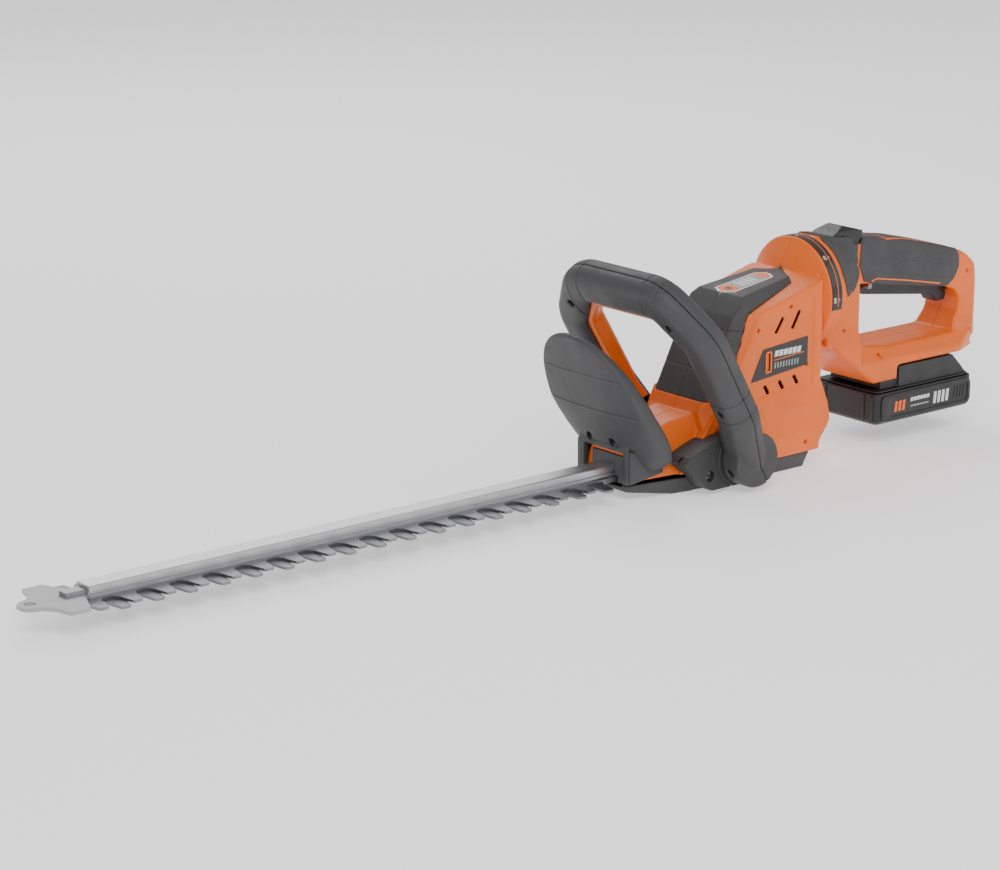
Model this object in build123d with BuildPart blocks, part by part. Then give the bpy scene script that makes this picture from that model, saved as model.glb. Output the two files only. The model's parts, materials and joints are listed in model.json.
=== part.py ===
from build123d import *
import os
from math import acos, cos, degrees, radians, sin, sqrt

# A cordless hedge trimmer lying at rest on the flat underside of its base. Millimetres.
# +X runs back from the blade to the battery, -Y is the operator's left, +Z is up.
# The origin is the middle of the base's flat underside.

os.makedirs("parts", exist_ok=True)

# Driving dimensions: fits and walls
wall = 3.0              # thickness of a moulded shell
seam = 0.1              # half the gap between two shell halves
gap = 0.4               # clearance between neighbours that only pass by
slip = 0.05             # radial clearance of a running fit

# Driving dimensions: housing
nose_x = -120.0         # front face of the gear housing
slope_foot_x = -45.0    # where the low gear housing meets the tall motor housing
rear_wall_x = 88.0      # back wall of the motor housing
base_z = 14.5           # seam between the base tray and the orange housing
nose_top_z = 64.0       # top of the gear housing
crest_z = 160.5         # front end of the motor housing's roof
roof_end_z = 172.0      # rear end of that roof
body_half = 46.0        # half the width of the motor housing
nose_half = 29.0        # half the width of the gear housing at its front
belly_half = 49.5       # half the width of the bulge above the base
base_half = 44.0        # half the width of the base tray at its rear
cover_depth = 13.0      # how far the grey top cover reaches down the slopes

# Driving dimensions: swivel between housing and rear handle
swivel_z = 148.0
ring_r = 50.0
ring_front_x = rear_wall_x + 6.0
ring_rear_x = ring_front_x + 14.0
spigot_r = 36.0         # tube of the rear handle that turns in the housing
flange_r = 41.0         # flange that holds the tube in

# Driving dimensions: blades
tooth_pitch = 30.0
stroke = 16.0
blade_t = 2.1
blade_gap = 0.1
blade_z = 15.7          # underside of the lower blade
lower_last_x = nose_x - 27.3    # last tooth of the lower blade, next to the housing
upper_last_x = nose_x - 45.8    # last tooth of the upper blade
lower_reach = 34.7      # tooth tips from the centre line
upper_reach = 33.0
spine_half = 12.5
rail_width = 18.3
rail_height = 9.7
rail_tip_x = -644.0
rail_end_x = nose_x + 24.0
lower_teeth = int((lower_last_x - rail_tip_x) / tooth_pitch) + 1
upper_teeth = int((upper_last_x - rail_tip_x + 2.0) / tooth_pitch) + 1

# Driving dimensions: blade drive
gear_x = -30.0
motor_x = 10.0
gear_module = 1.25
gear_teeth = 52
pinion_teeth = 12
gear_z = 29.0
gear_t = 8.0
throw = stroke / 2.0    # eccentric offset
rod_length = 46.0
shaft_r = 5.0
pin_r = 3.0

# Driving dimensions: front handle
hub_x = -16.5
hub_z = 29.0
hub_y = 60.0
lean = radians(30.7)    # the loop leans forward from upright
leg_half = 80.0         # centre of each leg from the middle
loop_rise = 180.0       # centre of the top bar above the hubs, along the lean
tube_w = 36.0           # across the tube, in the plane of the loop
tube_t = 32.0

# Driving dimensions: rear handle, placed from the collar's front and the swivel's axis
handle_x = ring_rear_x + gap
handle_end = 214.6      # rearmost point behind the collar's front
grip_half = 21.0
foot_half = 35.0
column_half = 30.0
trigger_half = 9.0
trigger_angle = 4.5

# Driving dimensions: battery
pack_front_x = handle_x + 56.6
pack_length = 127.0
pack_height = 29.0
pack_half = 40.0
pack_rear_x = pack_front_x + pack_length
pack_z = swivel_z - 128.0
pack_top_z = pack_z + pack_height
cell_r = 9.1
cell_length = 65.0
cell_count = 5

# Fasteners
screw_r = 2.0
screw_head_r = 3.6


def flat(plane, points, inset=0.0):
    """A straight-sided face on a plane, drawn in by an inset."""
    with BuildSketch(plane, mode=Mode.PRIVATE) as outline:
        with BuildLine():
            Polyline(*points, close=True)
        make_face()
        if inset:
            offset(amount=-inset, kind=Kind.INTERSECTION, mode=Mode.REPLACE)
    return outline.sketch


def mirrored(half):
    """A closed outline from the points of its +Y half, front to back."""
    return half + [(x, -y) for x, y in reversed(half) if y > 0]


def section(half):
    """A closed outline across the tool from its half, given as (width, height)."""
    return half + [(-y, z) for y, z in reversed(half)]


def trimmed(solid, origin, normal, inset=0.0):
    """What lies behind a slanted plane that is moved in by an inset."""
    direction = Vector(*normal).normalized()
    cut = Plane(origin=Vector(*origin) - direction * inset, z_dir=direction)
    with BuildPart(mode=Mode.PRIVATE) as kept:
        add(solid)
        split(bisect_by=cut, keep=Keep.BOTTOM)
    return kept.part


def round_bar(origin, direction, radius, length):
    """A plain round bar from a point along a direction."""
    with BuildPart(mode=Mode.PRIVATE) as bar:
        with BuildSketch(Plane(origin=origin, z_dir=direction)):
            Circle(radius)
        extrude(amount=length)
    return bar.part


def write(name, part):
    """Label one finished piece and export it."""
    part.label = name
    export_step(part, "parts/" + name + ".step")


# ---------------------------------------------------------------- housing form

blade_top_z = blade_z + 2 * blade_t + blade_gap
rail_z = blade_top_z + blade_gap
slope_foot_z = nose_top_z + 2.0
roof_front_x = slope_foot_x + 53.0
slope_normal = (-(crest_z - 16.0 - slope_foot_z), 0.0, 39.5)


crown = [(slope_foot_x, base_z), (slope_foot_x, slope_foot_z),
         (slope_foot_x + 39.5, crest_z - 16.0), (slope_foot_x + 48.5, crest_z - 5.0),
         (roof_front_x, crest_z), (rear_wall_x, roof_end_z), (rear_wall_x, base_z)]
cap_plan = mirrored([(slope_foot_x - 45.0, body_half - 4.0), (slope_foot_x + 30.0, body_half - 5.0),
                     (roof_front_x + 4.0, body_half - 10.0), (rear_wall_x - 21.0, body_half - 19.0),
                     (rear_wall_x - 7.4, 0.0)])


def crown_form(inset):
    """The motor housing before its upper edges are cut back."""
    plan = mirrored([(slope_foot_x, body_half - 3.0), (0.0, body_half - 1.0),
                     (rear_wall_x, body_half)])
    with BuildPart(mode=Mode.PRIVATE) as form:
        extrude(flat(Plane.XZ, crown, inset), amount=2 * body_half, both=True)
        extrude(flat(Plane.XY, plan, inset), amount=2 * crest_z, mode=Mode.INTERSECT)
    solid = form.part
    for side in (-1, 1):
        edge = (slope_foot_x, side * (body_half - 3.0 - cover_depth), slope_foot_z)
        tilt = Vector(*slope_normal).normalized() + Vector(0.0, side, 0.0)
        solid = trimmed(solid, edge, tuple(tilt), inset)
    return solid


def tall_form(inset):
    """The motor housing: sides with a sloping shelf, and a raised cap along the roof."""
    shelved = crown_form(inset)
    capped = crown_form(inset)
    for side in (-1, 1):
        shelf = (rear_wall_x, side * body_half, swivel_z + 19.6)
        shelved = trimmed(shelved, shelf, (-0.265, side * 0.15, 1.0), inset)
        brow = (roof_front_x + 4.0, side * (body_half - 10.0), crest_z - 9.0)
        capped = trimmed(capped, brow, (-0.03, side * 0.75, 0.66), inset)
    with BuildPart(mode=Mode.PRIVATE) as cap:
        add(capped)
        extrude(flat(Plane.XY, cap_plan, inset), amount=2 * crest_z, mode=Mode.INTERSECT)
    with BuildPart(mode=Mode.PRIVATE) as form:
        add(shelved)
        add(cap.part)
    return form.part


def belly_form(inset):
    """The bulge round the bottom of the motor housing."""
    front_x = nose_x + 45.0
    side_on = [(front_x, base_z), (rear_wall_x - 5.0, base_z), (rear_wall_x + 9.0, base_z + 27.0),
               (rear_wall_x + 2.0, nose_top_z + 12.0), (slope_foot_x + 15.0, nose_top_z + 12.0),
               (slope_foot_x + 6.0, nose_top_z - 4.0), (front_x + 15.0, base_z + 16.0)]
    plan = mirrored([(front_x, base_half - 6.5), (-20.0, base_half), (40.0, belly_half),
                     (rear_wall_x + 9.0, belly_half)])
    across = section([(base_half + 1.5, base_z), (belly_half, base_z + 21.0),
                      (belly_half, nose_top_z - 6.0), (body_half - 1.0, nose_top_z + 12.0)])
    with BuildPart(mode=Mode.PRIVATE) as form:
        extrude(flat(Plane.XZ, side_on, inset), amount=2 * belly_half, both=True)
        extrude(flat(Plane.XY, plan, inset), amount=2 * nose_top_z, mode=Mode.INTERSECT)
        extrude(flat(Plane.YZ.offset(front_x), across, inset), amount=2 * rear_wall_x,
                mode=Mode.INTERSECT)
    return form.part


def nose_form(inset):
    """The low gear housing, which widens and rises towards the motor."""
    front = section([(nose_half, base_z), (nose_half, base_z + 8.0), (nose_half - 7.0, 42.0)])
    middle = section([(nose_half + 6.0, base_z), (nose_half + 5.0, base_z + 11.0),
                      (nose_half - 9.0, nose_top_z - 3.0)])
    back = section([(base_half - 2.0, base_z), (base_half - 3.0, base_z + 16.0),
                    (nose_half - 4.0, slope_foot_z)])
    with BuildPart(mode=Mode.PRIVATE) as form:
        loft([flat(Plane.YZ.offset(nose_x + inset), front, inset),
              flat(Plane.YZ.offset(nose_x + 50.0), middle, inset),
              flat(Plane.YZ.offset(slope_foot_x + 6.0), back, inset)], ruled=True)
    return form.part


def collar_form(inset):
    """The dome behind the roof and the round collar of the swivel."""
    with BuildPart(mode=Mode.PRIVATE) as form:
        with BuildSketch(Plane(origin=(0, 0, swivel_z), x_dir=(1, 0, 0), z_dir=(0, -1, 0))):
            with BuildLine():
                rim = Line((ring_rear_x - inset, 0), (ring_rear_x - inset, ring_r - inset))
                top = Line(rim @ 1, (ring_front_x, ring_r - inset))
                dome = ThreePointArc(top @ 1, (rear_wall_x - 0.5 + inset / 2, 0.78 * ring_r - inset),
                                     (rear_wall_x - 22.0 + inset, 0))
                Line(dome @ 1, rim @ 0)
            make_face()
        revolve(axis=Axis((0, 0, swivel_z), (1, 0, 0)))
    return form.part


def housing_form(inset):
    """The whole housing envelope, without the base tray."""
    with BuildPart(mode=Mode.PRIVATE) as form:
        add(tall_form(inset))
        add(belly_form(inset))
        add(nose_form(inset))
        add(collar_form(inset))
    return form.part


outer_form = housing_form(0.0)
inner_form = housing_form(wall)


# ---------------------------------------------------------------- housing shells

screw_spots = [(nose_x + 35.0, 49.0), (roof_front_x + 4.0, crest_z - 28.0), (50.0, crest_z - 12.0),
               (rear_wall_x - 16.0, 94.0), (rear_wall_x - 18.0, base_z + 10.0)]
boss_r = 4.6
panel = [(14.0, 138.0), (78.0, 154.0), (78.0, 76.0), (2.0, 71.0), (-1.0, 84.0)]
plate_outline = [(18.0, 115.0), (72.0, 119.5), (72.0, 94.0), (4.0, 87.5)]
panel_depth = 1.2
plate_t = 1.0
mouth_half = 20.0       # opening in the nose for the blade clamp
mouth_top_z = 39.0


def slanted_slot(low_x, low_z, rise, shift, width):
    """A narrow slot through the side wall, leaning back as it rises."""
    return [(low_x, low_z), (low_x + shift, low_z + rise),
            (low_x + shift + width, low_z + rise), (low_x + width, low_z)]


with BuildPart(mode=Mode.PRIVATE) as strip_ring:
    with BuildSketch(Plane.YZ.offset(ring_front_x + 1.6)):
        with Locations((0, swivel_z)):
            Circle(ring_r + 0.3)
            Circle(ring_r - 0.9, mode=Mode.SUBTRACT)
        with Locations((0, swivel_z - ring_r - 9.0)):
            Rectangle(3 * ring_r, 2 * ring_r, mode=Mode.SUBTRACT)
    extrude(amount=ring_rear_x - ring_front_x - 2.6)

vents = [slanted_slot(31.0 + step * 20.0, 127.0 + step * 1.5, 13.5 + step * 2.0, 9.0, 3.4) for step in (0, 1)]
vents += [slanted_slot(24.0 + step * 17.5, 74.0 + step * 2.0, 8.5, -5.0, 3.4) for step in (0, 1, 2)]

with BuildPart(mode=Mode.PRIVATE) as shell:
    add(outer_form)
    add(inner_form, mode=Mode.SUBTRACT)
    # screw bosses along the seam
    for spot_x, spot_z in screw_spots:
        boss = round_bar((spot_x, -belly_half, spot_z), (0, 1, 0), boss_r, 2 * belly_half)
        add(boss & outer_form)
    # open underside, where the base tray closes the housing
    with Locations((0, 0, base_z)):
        Box(3 * rear_wall_x, 2 * belly_half - 12.0, 2 * wall + 0.2, mode=Mode.SUBTRACT)
    # mouth in the nose
    with Locations((nose_x, 0, base_z)):
        Box(4 * wall, 2 * mouth_half, 2 * (mouth_top_z - base_z), mode=Mode.SUBTRACT)
    # hole in the collar for the rear handle's tube
    with BuildSketch(Plane.YZ.offset(ring_rear_x + 1.0)):
        with Locations((0, swivel_z)):
            Circle(spigot_r + slip)
    extrude(amount=-(wall + 4.0), mode=Mode.SUBTRACT)
    # recessed side panels with their vents
    for side in (-1, 1):
        face = Plane(origin=(0, side * (body_half + 1.0), 0), x_dir=(1, 0, 0), z_dir=(0, -1, 0))
        inward = panel_depth + 1.6
        extrude(flat(face, panel), amount=side * inward, mode=Mode.SUBTRACT)
        for vent in vents:
            extrude(flat(face, vent), amount=side * (inward + 2 * wall), mode=Mode.SUBTRACT)
        extrude(flat(face, plate_outline), amount=side * (inward + plate_t), mode=Mode.SUBTRACT)
    add(strip_ring.part, mode=Mode.SUBTRACT)
    # screw holes
    for spot_x, spot_z in screw_spots:
        add(round_bar((spot_x, -belly_half, spot_z), (0, 1, 0), screw_r, 2 * belly_half), mode=Mode.SUBTRACT)
        head_y = 16.0
        add(round_bar((spot_x, -head_y, spot_z), (0, -1, 0), screw_head_r + 0.2, belly_half), mode=Mode.SUBTRACT)

under_cover = [(slope_foot_x, base_z - 60.0), (slope_foot_x, slope_foot_z),
               (slope_foot_x + 39.5, crest_z - 16.0), (slope_foot_x + 48.5, crest_z - 5.0),
               (roof_front_x, crest_z), (rear_wall_x + 60.0, roof_end_z + 8.6),
               (rear_wall_x + 60.0, base_z - 60.0)]

with BuildPart(mode=Mode.PRIVATE) as cover_zone:
    with BuildSketch(Plane.XY.offset(slope_foot_z + 9.0)):
        add(flat(Plane.XY, cap_plan))
    extrude(amount=2 * crest_z)
    extrude(flat(Plane.XZ, under_cover, cover_depth), amount=2 * body_half, both=True, mode=Mode.SUBTRACT)


def half_of(solid, side):
    """The part of a solid on one side of the middle seam."""
    with BuildPart(mode=Mode.PRIVATE) as half:
        add(solid)
        split(bisect_by=Plane(origin=(0, side * seam, 0), z_dir=(0, side, 0)), keep=Keep.TOP)
    return half.part


for side, hand in ((-1, "left"), (1, "right")):
    with BuildPart() as housing_half:
        add(half_of(shell.part, side))
        add(cover_zone.part, mode=Mode.SUBTRACT)
    write("housing_" + hand, housing_half.part)
    with BuildPart() as cover_half:
        add(half_of(shell.part, side))
        add(cover_zone.part, mode=Mode.INTERSECT)
    write("top_cover_" + hand, cover_half.part)

write("angle_strip", strip_ring.part)

# ---------------------------------------------------------------- base tray, nose block, nameplates

base_front_x = nose_x - 3.0
base_rear_x = rear_wall_x - 3.0
base_wall = 2.6
bearing_z = 4.2         # underside of the lower bearing
bearing_r = 11.0
bearing_t = 5.0


def base_plan(shrink):
    """Outline of the tray; it widens towards the rear."""
    return mirrored([(base_front_x + shrink, 27.0 - shrink), (-60.0, 38.0 - shrink),
                     (25.0, base_half - shrink), (base_rear_x - 8.0 - shrink, base_half - shrink),
                     (base_rear_x - shrink, base_half - 8.0 - shrink)])


def tray_form(inset):
    """The tray with sides that draw in towards the floor and a raised front."""
    draft = 4.0
    with BuildPart(mode=Mode.PRIVATE) as form:
        loft([flat(Plane.XY.offset(base_z), base_plan(inset)),
              flat(Plane.XY.offset(inset), base_plan(inset + draft))], ruled=True)
    return trimmed(form.part, (-75.0, 0.0, 0.0), (-8.5, 0.0, -48.0), inset)


with BuildPart() as tray_hollow:
    add(tray_form(base_wall))
    with BuildSketch(Plane.XY.offset(base_z)):
        add(flat(Plane.XY, base_plan(base_wall)))
    extrude(amount=1.0)

with BuildPart() as base_cover:
    add(tray_form(0.0))
    add(tray_hollow.part, mode=Mode.SUBTRACT)
    # seat of the lower bearing
    with BuildSketch(Plane.XY.offset(base_wall)):
        with Locations((gear_x, 0)):
            Circle(bearing_r + 2.5)
    extrude(amount=bearing_z + bearing_t - base_wall)
    with BuildSketch(Plane.XY.offset(bearing_z)):
        with Locations((gear_x, 0)):
            Circle(bearing_r)
    extrude(amount=bearing_t + 1.0, mode=Mode.SUBTRACT)
    # slot where the blades leave
    with Locations((base_front_x, 0, base_z)):
        Box(6 * wall, 2 * mouth_half, 5.0, mode=Mode.SUBTRACT)
    # finger notches in the rear sides
    for side in (-1, 1):
        with Locations((56.0, side * base_half, 10.0)):
            Box(16.0, 3.0, 5.0, mode=Mode.SUBTRACT)
write("base_cover", base_cover.part)

block_front_x = nose_x - 1.0
block_rear_x = nose_x + 18.0
with BuildPart() as nose_block:
    with BuildSketch(Plane.YZ.offset(block_front_x)):
        with Locations((0, (base_z + mouth_top_z) / 2)):
            Rectangle(2 * (mouth_half - gap), mouth_top_z - base_z - 2 * gap)
    extrude(amount=block_rear_x - block_front_x)
    # passage of the rail and of the blades below it
    with BuildSketch(Plane.YZ.offset(block_front_x)):
        with Locations((0, rail_z + rail_height / 2)):
            Rectangle(rail_width, rail_height)
    extrude(amount=block_rear_x - block_front_x, mode=Mode.SUBTRACT)
    with Locations(((block_front_x + block_rear_x) / 2, 0, (blade_z + blade_top_z) / 2)):
        Box(30.0, 2 * (spine_half + 1.0), blade_top_z - blade_z + 0.6, mode=Mode.SUBTRACT)
    with Locations(((block_front_x + block_rear_x) / 2, 0, base_z)):
        Box(30.0, 2 * (spine_half + 1.0), 2 * (blade_z - base_z) - 0.6, mode=Mode.SUBTRACT)
write("nose_block", nose_block.part)

for side, hand in ((-1, "left"), (1, "right")):
    plate_y = side * (body_half + 1.0 - panel_depth - 1.6)
    with BuildPart() as nameplate:
        face = Plane(origin=(0, plate_y, 0), x_dir=(1, 0, 0), z_dir=(0, -1, 0))
        extrude(flat(face, plate_outline, 0.1), amount=side * plate_t)
        with Locations((24.5, plate_y, 103.0)):
            Box(3.6, 6.0, 15.0, mode=Mode.SUBTRACT)
    write("nameplate_" + hand, nameplate.part)

# ---------------------------------------------------------------- hand guard

guard_t = 3.0
guard_foot_z = base_z + 2.0


def guard_curve(height, inset):
    """Outline of the shield's bulk at one height, as (X, Y)."""
    rise = height - 30.0
    front_x = nose_x - 1.0 - 0.40 * max(height - 31.0, 0.0) + inset
    spread = [(0.0, 45.0), (24.0, 56.0), (50.0, 61.0), (82.0, 53.5), (105.0, 40.0), (119.0, 16.0)]
    low = max([s for s in spread if s[0] <= rise])
    high = min([s for s in spread if s[0] >= rise])
    share = 0.0 if high[0] == low[0] else (rise - low[0]) / (high[0] - low[0])
    half = low[1] + share * (high[1] - low[1]) - inset
    sweep = max(18.0 - 0.25 * rise, 4.0)
    depth = 12.0 + max(20.0 - 0.35 * rise, 0.0)
    mid = (front_x + 0.25 * sweep, 0.6 * half)
    edge = (front_x + sweep, half)
    lip = (front_x + sweep + depth + 2 * inset, half)
    return mirrored([(front_x, 0.0), mid, edge, lip])


def guard_bulk(inset):
    """The full-depth body that the shield is the skin of."""
    heights = [30.0, 54.0, 80.0, 112.0, 135.0, 149.0 - 1.2 * inset]
    with BuildPart(mode=Mode.PRIVATE) as form:
        loft([flat(Plane.XY.offset(z), guard_curve(z, inset)) for z in heights], ruled=True)
    return form.part


guard_frame_half = 30.0
guard_screw_spots = [(-14.5, 52.0), (14.5, 52.0)]
with BuildPart() as guard:
    add(guard_bulk(0.0))
    add(guard_bulk(guard_t), mode=Mode.SUBTRACT)
    # frame round the blade's exit
    with BuildSketch(Plane.YZ.offset(nose_x - 5.0)):
        with Locations((0, (guard_foot_z + 52.0) / 2)):
            Rectangle(2 * guard_frame_half, 52.0 - guard_foot_z)
        with Locations((0, (guard_foot_z + 43.0) / 2)):
            Rectangle(2 * guard_frame_half - 12.0, 43.0 - guard_foot_z + 0.1, mode=Mode.SUBTRACT)
    extrude(amount=5.0)
    # side skirts that lie against the gear housing
    for side in (-1, 1):
        skirt = [(nose_x - 5.0, guard_foot_z), (nose_x + 34.0, 24.0), (nose_x + 34.0, 34.0),
                 (nose_x + 8.0, 46.0), (nose_x - 5.0, 46.0)]
        extrude(flat(Plane.XZ.offset(-side * 24.0), skirt), amount=-side * 16.0)
    # two screw bosses reach back to the gear housing
    for y, z in guard_screw_spots:
        with BuildSketch(Plane.YZ.offset(nose_x - 6.0)):
            with Locations((y, z)):
                Circle(5.0)
        extrude(amount=10.0)
    add(outer_form, mode=Mode.SUBTRACT)
    # the middle stays open for the blade
    with Locations((nose_x - 4.8, 0, 30.0)):
        Box(10.0, 2 * guard_frame_half - 12.0, 26.0, mode=Mode.SUBTRACT)
    for y, z in guard_screw_spots:
        with BuildSketch(Plane.YZ.offset(nose_x - 20.0)):
            with Locations((y, z)):
                Circle(screw_r)
        extrude(amount=50.0, mode=Mode.SUBTRACT)
        with BuildSketch(Plane.YZ.offset(nose_x - 20.0)):
            with Locations((y, z)):
                Circle(screw_head_r + 0.2)
        extrude(amount=18.0, mode=Mode.SUBTRACT)
guard_solids = guard.part.solids().sort_by(SortBy.VOLUME)
write("guard", Part(guard_solids[-1].wrapped))


def screw(head_point, direction, length):
    """A cross-head screw: its head starts at a point and its shank runs along a direction."""
    with BuildPart(mode=Mode.PRIVATE) as body:
        plane = Plane(origin=head_point, z_dir=direction)
        with BuildSketch(plane):
            Circle(screw_head_r)
        extrude(amount=2.2)
        with BuildSketch(plane.offset(2.2)):
            Circle(screw_r)
        extrude(amount=length)
        with BuildSketch(plane):
            Rectangle(4.0, 0.9)
            Rectangle(0.9, 4.0)
        extrude(amount=1.4, mode=Mode.SUBTRACT)
    return body.part


with BuildPart() as guard_screws:
    for y, z in guard_screw_spots:
        add(screw((nose_x - 4.2, y, z), (1, 0, 0), 14.0))
write("guard_screws", guard_screws.part)

# ---------------------------------------------------------------- blades and rail

drift = throw * 0.72                      # how far each blade stands from mid-stroke at rest
cross_drift = sqrt(throw ** 2 - drift ** 2)
rod_lean = sqrt(rod_length ** 2 - cross_drift ** 2)
upper_pin_x = gear_x + drift - rod_lean
lower_pin_x = gear_x - drift - rod_lean
bolt_r = 2.5
first_bolt_x = rail_tip_x + 34.0
bolt_pitch = 110.0
bolt_count = int((nose_x - 40.0 - first_bolt_x) / bolt_pitch) + 1
bolt_xs = [first_bolt_x + step * bolt_pitch for step in range(bolt_count)]
slot_half = bolt_r + 0.4


def tooth(centre_x, reach, side):
    """One blunt tooth, drawn outwards from the spine."""
    root = [(centre_x - 12.5, side * (spine_half - 2.0)), (centre_x - 9.6, side * (spine_half + 1.2)),
            (centre_x - 7.2, side * (spine_half + 5.0)), (centre_x - 4.6, side * (reach - 1.6)),
            (centre_x - 3.2, side * reach)]
    return root + [(2 * centre_x - x, y) for x, y in reversed(root)]


def blade(last_x, count, reach, tail_x, low_z, shift, pin_x):
    """A comb with teeth on both edges, guide slots, and a tang that its rod drives."""
    tip_x = last_x - (count - 1) * tooth_pitch - 10.0
    with BuildPart(mode=Mode.PRIVATE) as comb:
        with BuildSketch(Plane.XY.offset(low_z)):
            with Locations(((tip_x + tail_x) / 2, 0)):
                Rectangle(tail_x - tip_x, 2 * spine_half)
            for step in range(count):
                for side in (-1, 1):
                    with BuildLine():
                        Polyline(*tooth(last_x - step * tooth_pitch, reach, side), close=True)
                    make_face()
            for bolt_x in bolt_xs:
                with Locations((bolt_x + shift, 0)):
                    SlotOverall(stroke + 2 * slot_half, 2 * slot_half, mode=Mode.SUBTRACT)
            with Locations((pin_x, 0)):
                Circle(pin_r, mode=Mode.SUBTRACT)
        extrude(amount=blade_t)
    return comb.part


with BuildPart() as lower_blade:
    add(blade(lower_last_x, lower_teeth, lower_reach, lower_pin_x + 8.0, blade_z, -drift, lower_pin_x))
write("lower_blade", lower_blade.part)
upper_z = blade_z + blade_t + blade_gap
with BuildPart() as upper_blade:
    add(blade(upper_last_x, upper_teeth, upper_reach, upper_pin_x + 8.0, upper_z, drift, upper_pin_x))
write("upper_blade", upper_blade.part)

rod_t = 3.0
upper_rod_z = blade_top_z + 1.4
lower_rod_z = blade_z - 1.2 - rod_t
with BuildPart() as upper_blade_pin:
    with BuildSketch(Plane.XY.offset(upper_z)):
        with Locations((upper_pin_x, 0)):
            Circle(pin_r)
    extrude(amount=blade_t + 1.0)
write("upper_blade_pin", upper_blade_pin.part)
with BuildPart() as lower_blade_pin:
    with BuildSketch(Plane.XY.offset(blade_z - 0.8)):
        with Locations((lower_pin_x, 0)):
            Circle(pin_r)
    extrude(amount=blade_t + 0.8)
write("lower_blade_pin", lower_blade_pin.part)

with BuildPart() as blade_rail:
    rail_half = rail_width / 2
    shape = section([(rail_half, rail_z), (rail_half, rail_z + 2.6), (rail_half - 1.6, rail_z + 3.2),
                     (rail_half - 1.6, rail_z + 4.6), (rail_half, rail_z + 5.2),
                     (rail_half, rail_z + rail_height - 0.8),
                     (rail_half - 0.8, rail_z + rail_height)])
    extrude(flat(Plane.YZ.offset(rail_tip_x), shape), amount=rail_end_x - rail_tip_x)
    with BuildSketch(Plane.YZ.offset(rail_tip_x)):
        with Locations((0, rail_z + (rail_height - 2.4) / 2)):
            Rectangle(rail_width - 7.6, rail_height - 2.4)
    extrude(amount=rail_end_x - rail_tip_x, mode=Mode.SUBTRACT)
write("blade_rail", blade_rail.part)

# each blade bolt has its square body in the rail, its shank through the slots and a nut below
nut_z = blade_z - 0.3
with BuildPart() as blade_bolts:
    for bolt_x in bolt_xs:
        with BuildSketch(Plane.XY.offset(rail_z)):
            with Locations((bolt_x, 0)):
                Rectangle(9.0, rail_width - 8.0)
        extrude(amount=rail_height - 2.7)
        with BuildSketch(Plane.XY.offset(nut_z - 6.0)):
            with Locations((bolt_x, 0)):
                Circle(bolt_r)
        extrude(amount=rail_z - nut_z + 6.0)
write("blade_bolts", blade_bolts.part)
with BuildPart() as blade_washers:
    with BuildSketch(Plane.XY.offset(nut_z - 1.0)):
        with Locations([(bolt_x, 0) for bolt_x in bolt_xs]):
            Circle(6.5)
        with Locations([(bolt_x, 0) for bolt_x in bolt_xs]):
            Circle(bolt_r, mode=Mode.SUBTRACT)
    extrude(amount=1.0)
write("blade_washers", blade_washers.part)
with BuildPart() as blade_nuts:
    with BuildSketch(Plane.XY.offset(nut_z - 5.0)):
        with Locations([(bolt_x, 0) for bolt_x in bolt_xs]):
            RegularPolygon(4.6, 6)
        with Locations([(bolt_x, 0) for bolt_x in bolt_xs]):
            Circle(bolt_r, mode=Mode.SUBTRACT)
    extrude(amount=4.0)
write("blade_nuts", blade_nuts.part)

tip_plate_t = 3.2
tip_z = rail_z + 0.1
hole_x = rail_tip_x - 46.0
with BuildPart() as tip_plate:
    outline = mirrored([(hole_x - 9.0, 4.5), (hole_x - 5.0, 8.5), (hole_x + 4.0, 12.0), (hole_x + 10.0, 20.0),
                        (hole_x + 14.0, 35.0), (hole_x + 31.0, 35.0), (rail_tip_x - 4.0, rail_width / 2),
                        (rail_tip_x - 0.3, rail_width / 2)])
    with BuildSketch(Plane.XY.offset(tip_z)):
        add(flat(Plane.XY, outline))
        with Locations((hole_x, 0)):
            Circle(4.6, mode=Mode.SUBTRACT)
    extrude(amount=tip_plate_t)
    # raised tongue that sits in the rail's channel
    with BuildSketch(Plane.XY.offset(tip_z)):
        with Locations((rail_tip_x - 4.0, 0)):
            Rectangle(28.0, rail_width - 8.4)
    extrude(amount=rail_height - 3.0)
write("tip_plate", tip_plate.part)

# ---------------------------------------------------------------- blade drive

gear_r = gear_module * gear_teeth / 2
pinion_r = gear_module * pinion_teeth / 2


def gear_outline(teeth, centre_x, phase):
    """A spur gear's outline, with straight-sided teeth."""
    pitch_r = gear_module * teeth / 2
    spokes = []
    for index in range(teeth):
        centre = phase + index * 360.0 / teeth
        for radius, share in ((pitch_r - 1.25 * gear_module, -0.31), (pitch_r, -0.225),
                              (pitch_r + 0.95 * gear_module, -0.11), (pitch_r + 0.95 * gear_module, 0.11),
                              (pitch_r, 0.225), (pitch_r - 1.25 * gear_module, 0.31)):
            angle = radians(centre + share * 360.0 / teeth)
            spokes.append((centre_x + radius * cos(angle), radius * sin(angle)))
    return spokes


with BuildPart() as drive_gear:
    extrude(flat(Plane.XY.offset(gear_z), gear_outline(gear_teeth, gear_x, 0.0)), amount=gear_t)
    with BuildSketch(Plane.XY.offset(gear_z)):
        with Locations((gear_x, 0)):
            Circle(shaft_r)
        with Locations((gear_x, 0)):
            with PolarLocations(0.62 * gear_r, 6):
                Circle(5.0)
    extrude(amount=gear_t, mode=Mode.SUBTRACT)
write("drive_gear", drive_gear.part)

plate_z = gear_z + gear_t + 4.0
with BuildPart() as gear_shaft:
    with BuildSketch(Plane.XY.offset(bearing_z + 0.3)):
        with Locations((gear_x, 0)):
            Circle(shaft_r)
    extrude(amount=plate_z + bearing_t - bearing_z - 0.6)
write("gear_shaft", gear_shaft.part)

cam_r = throw + shaft_r + 1.0


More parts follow.
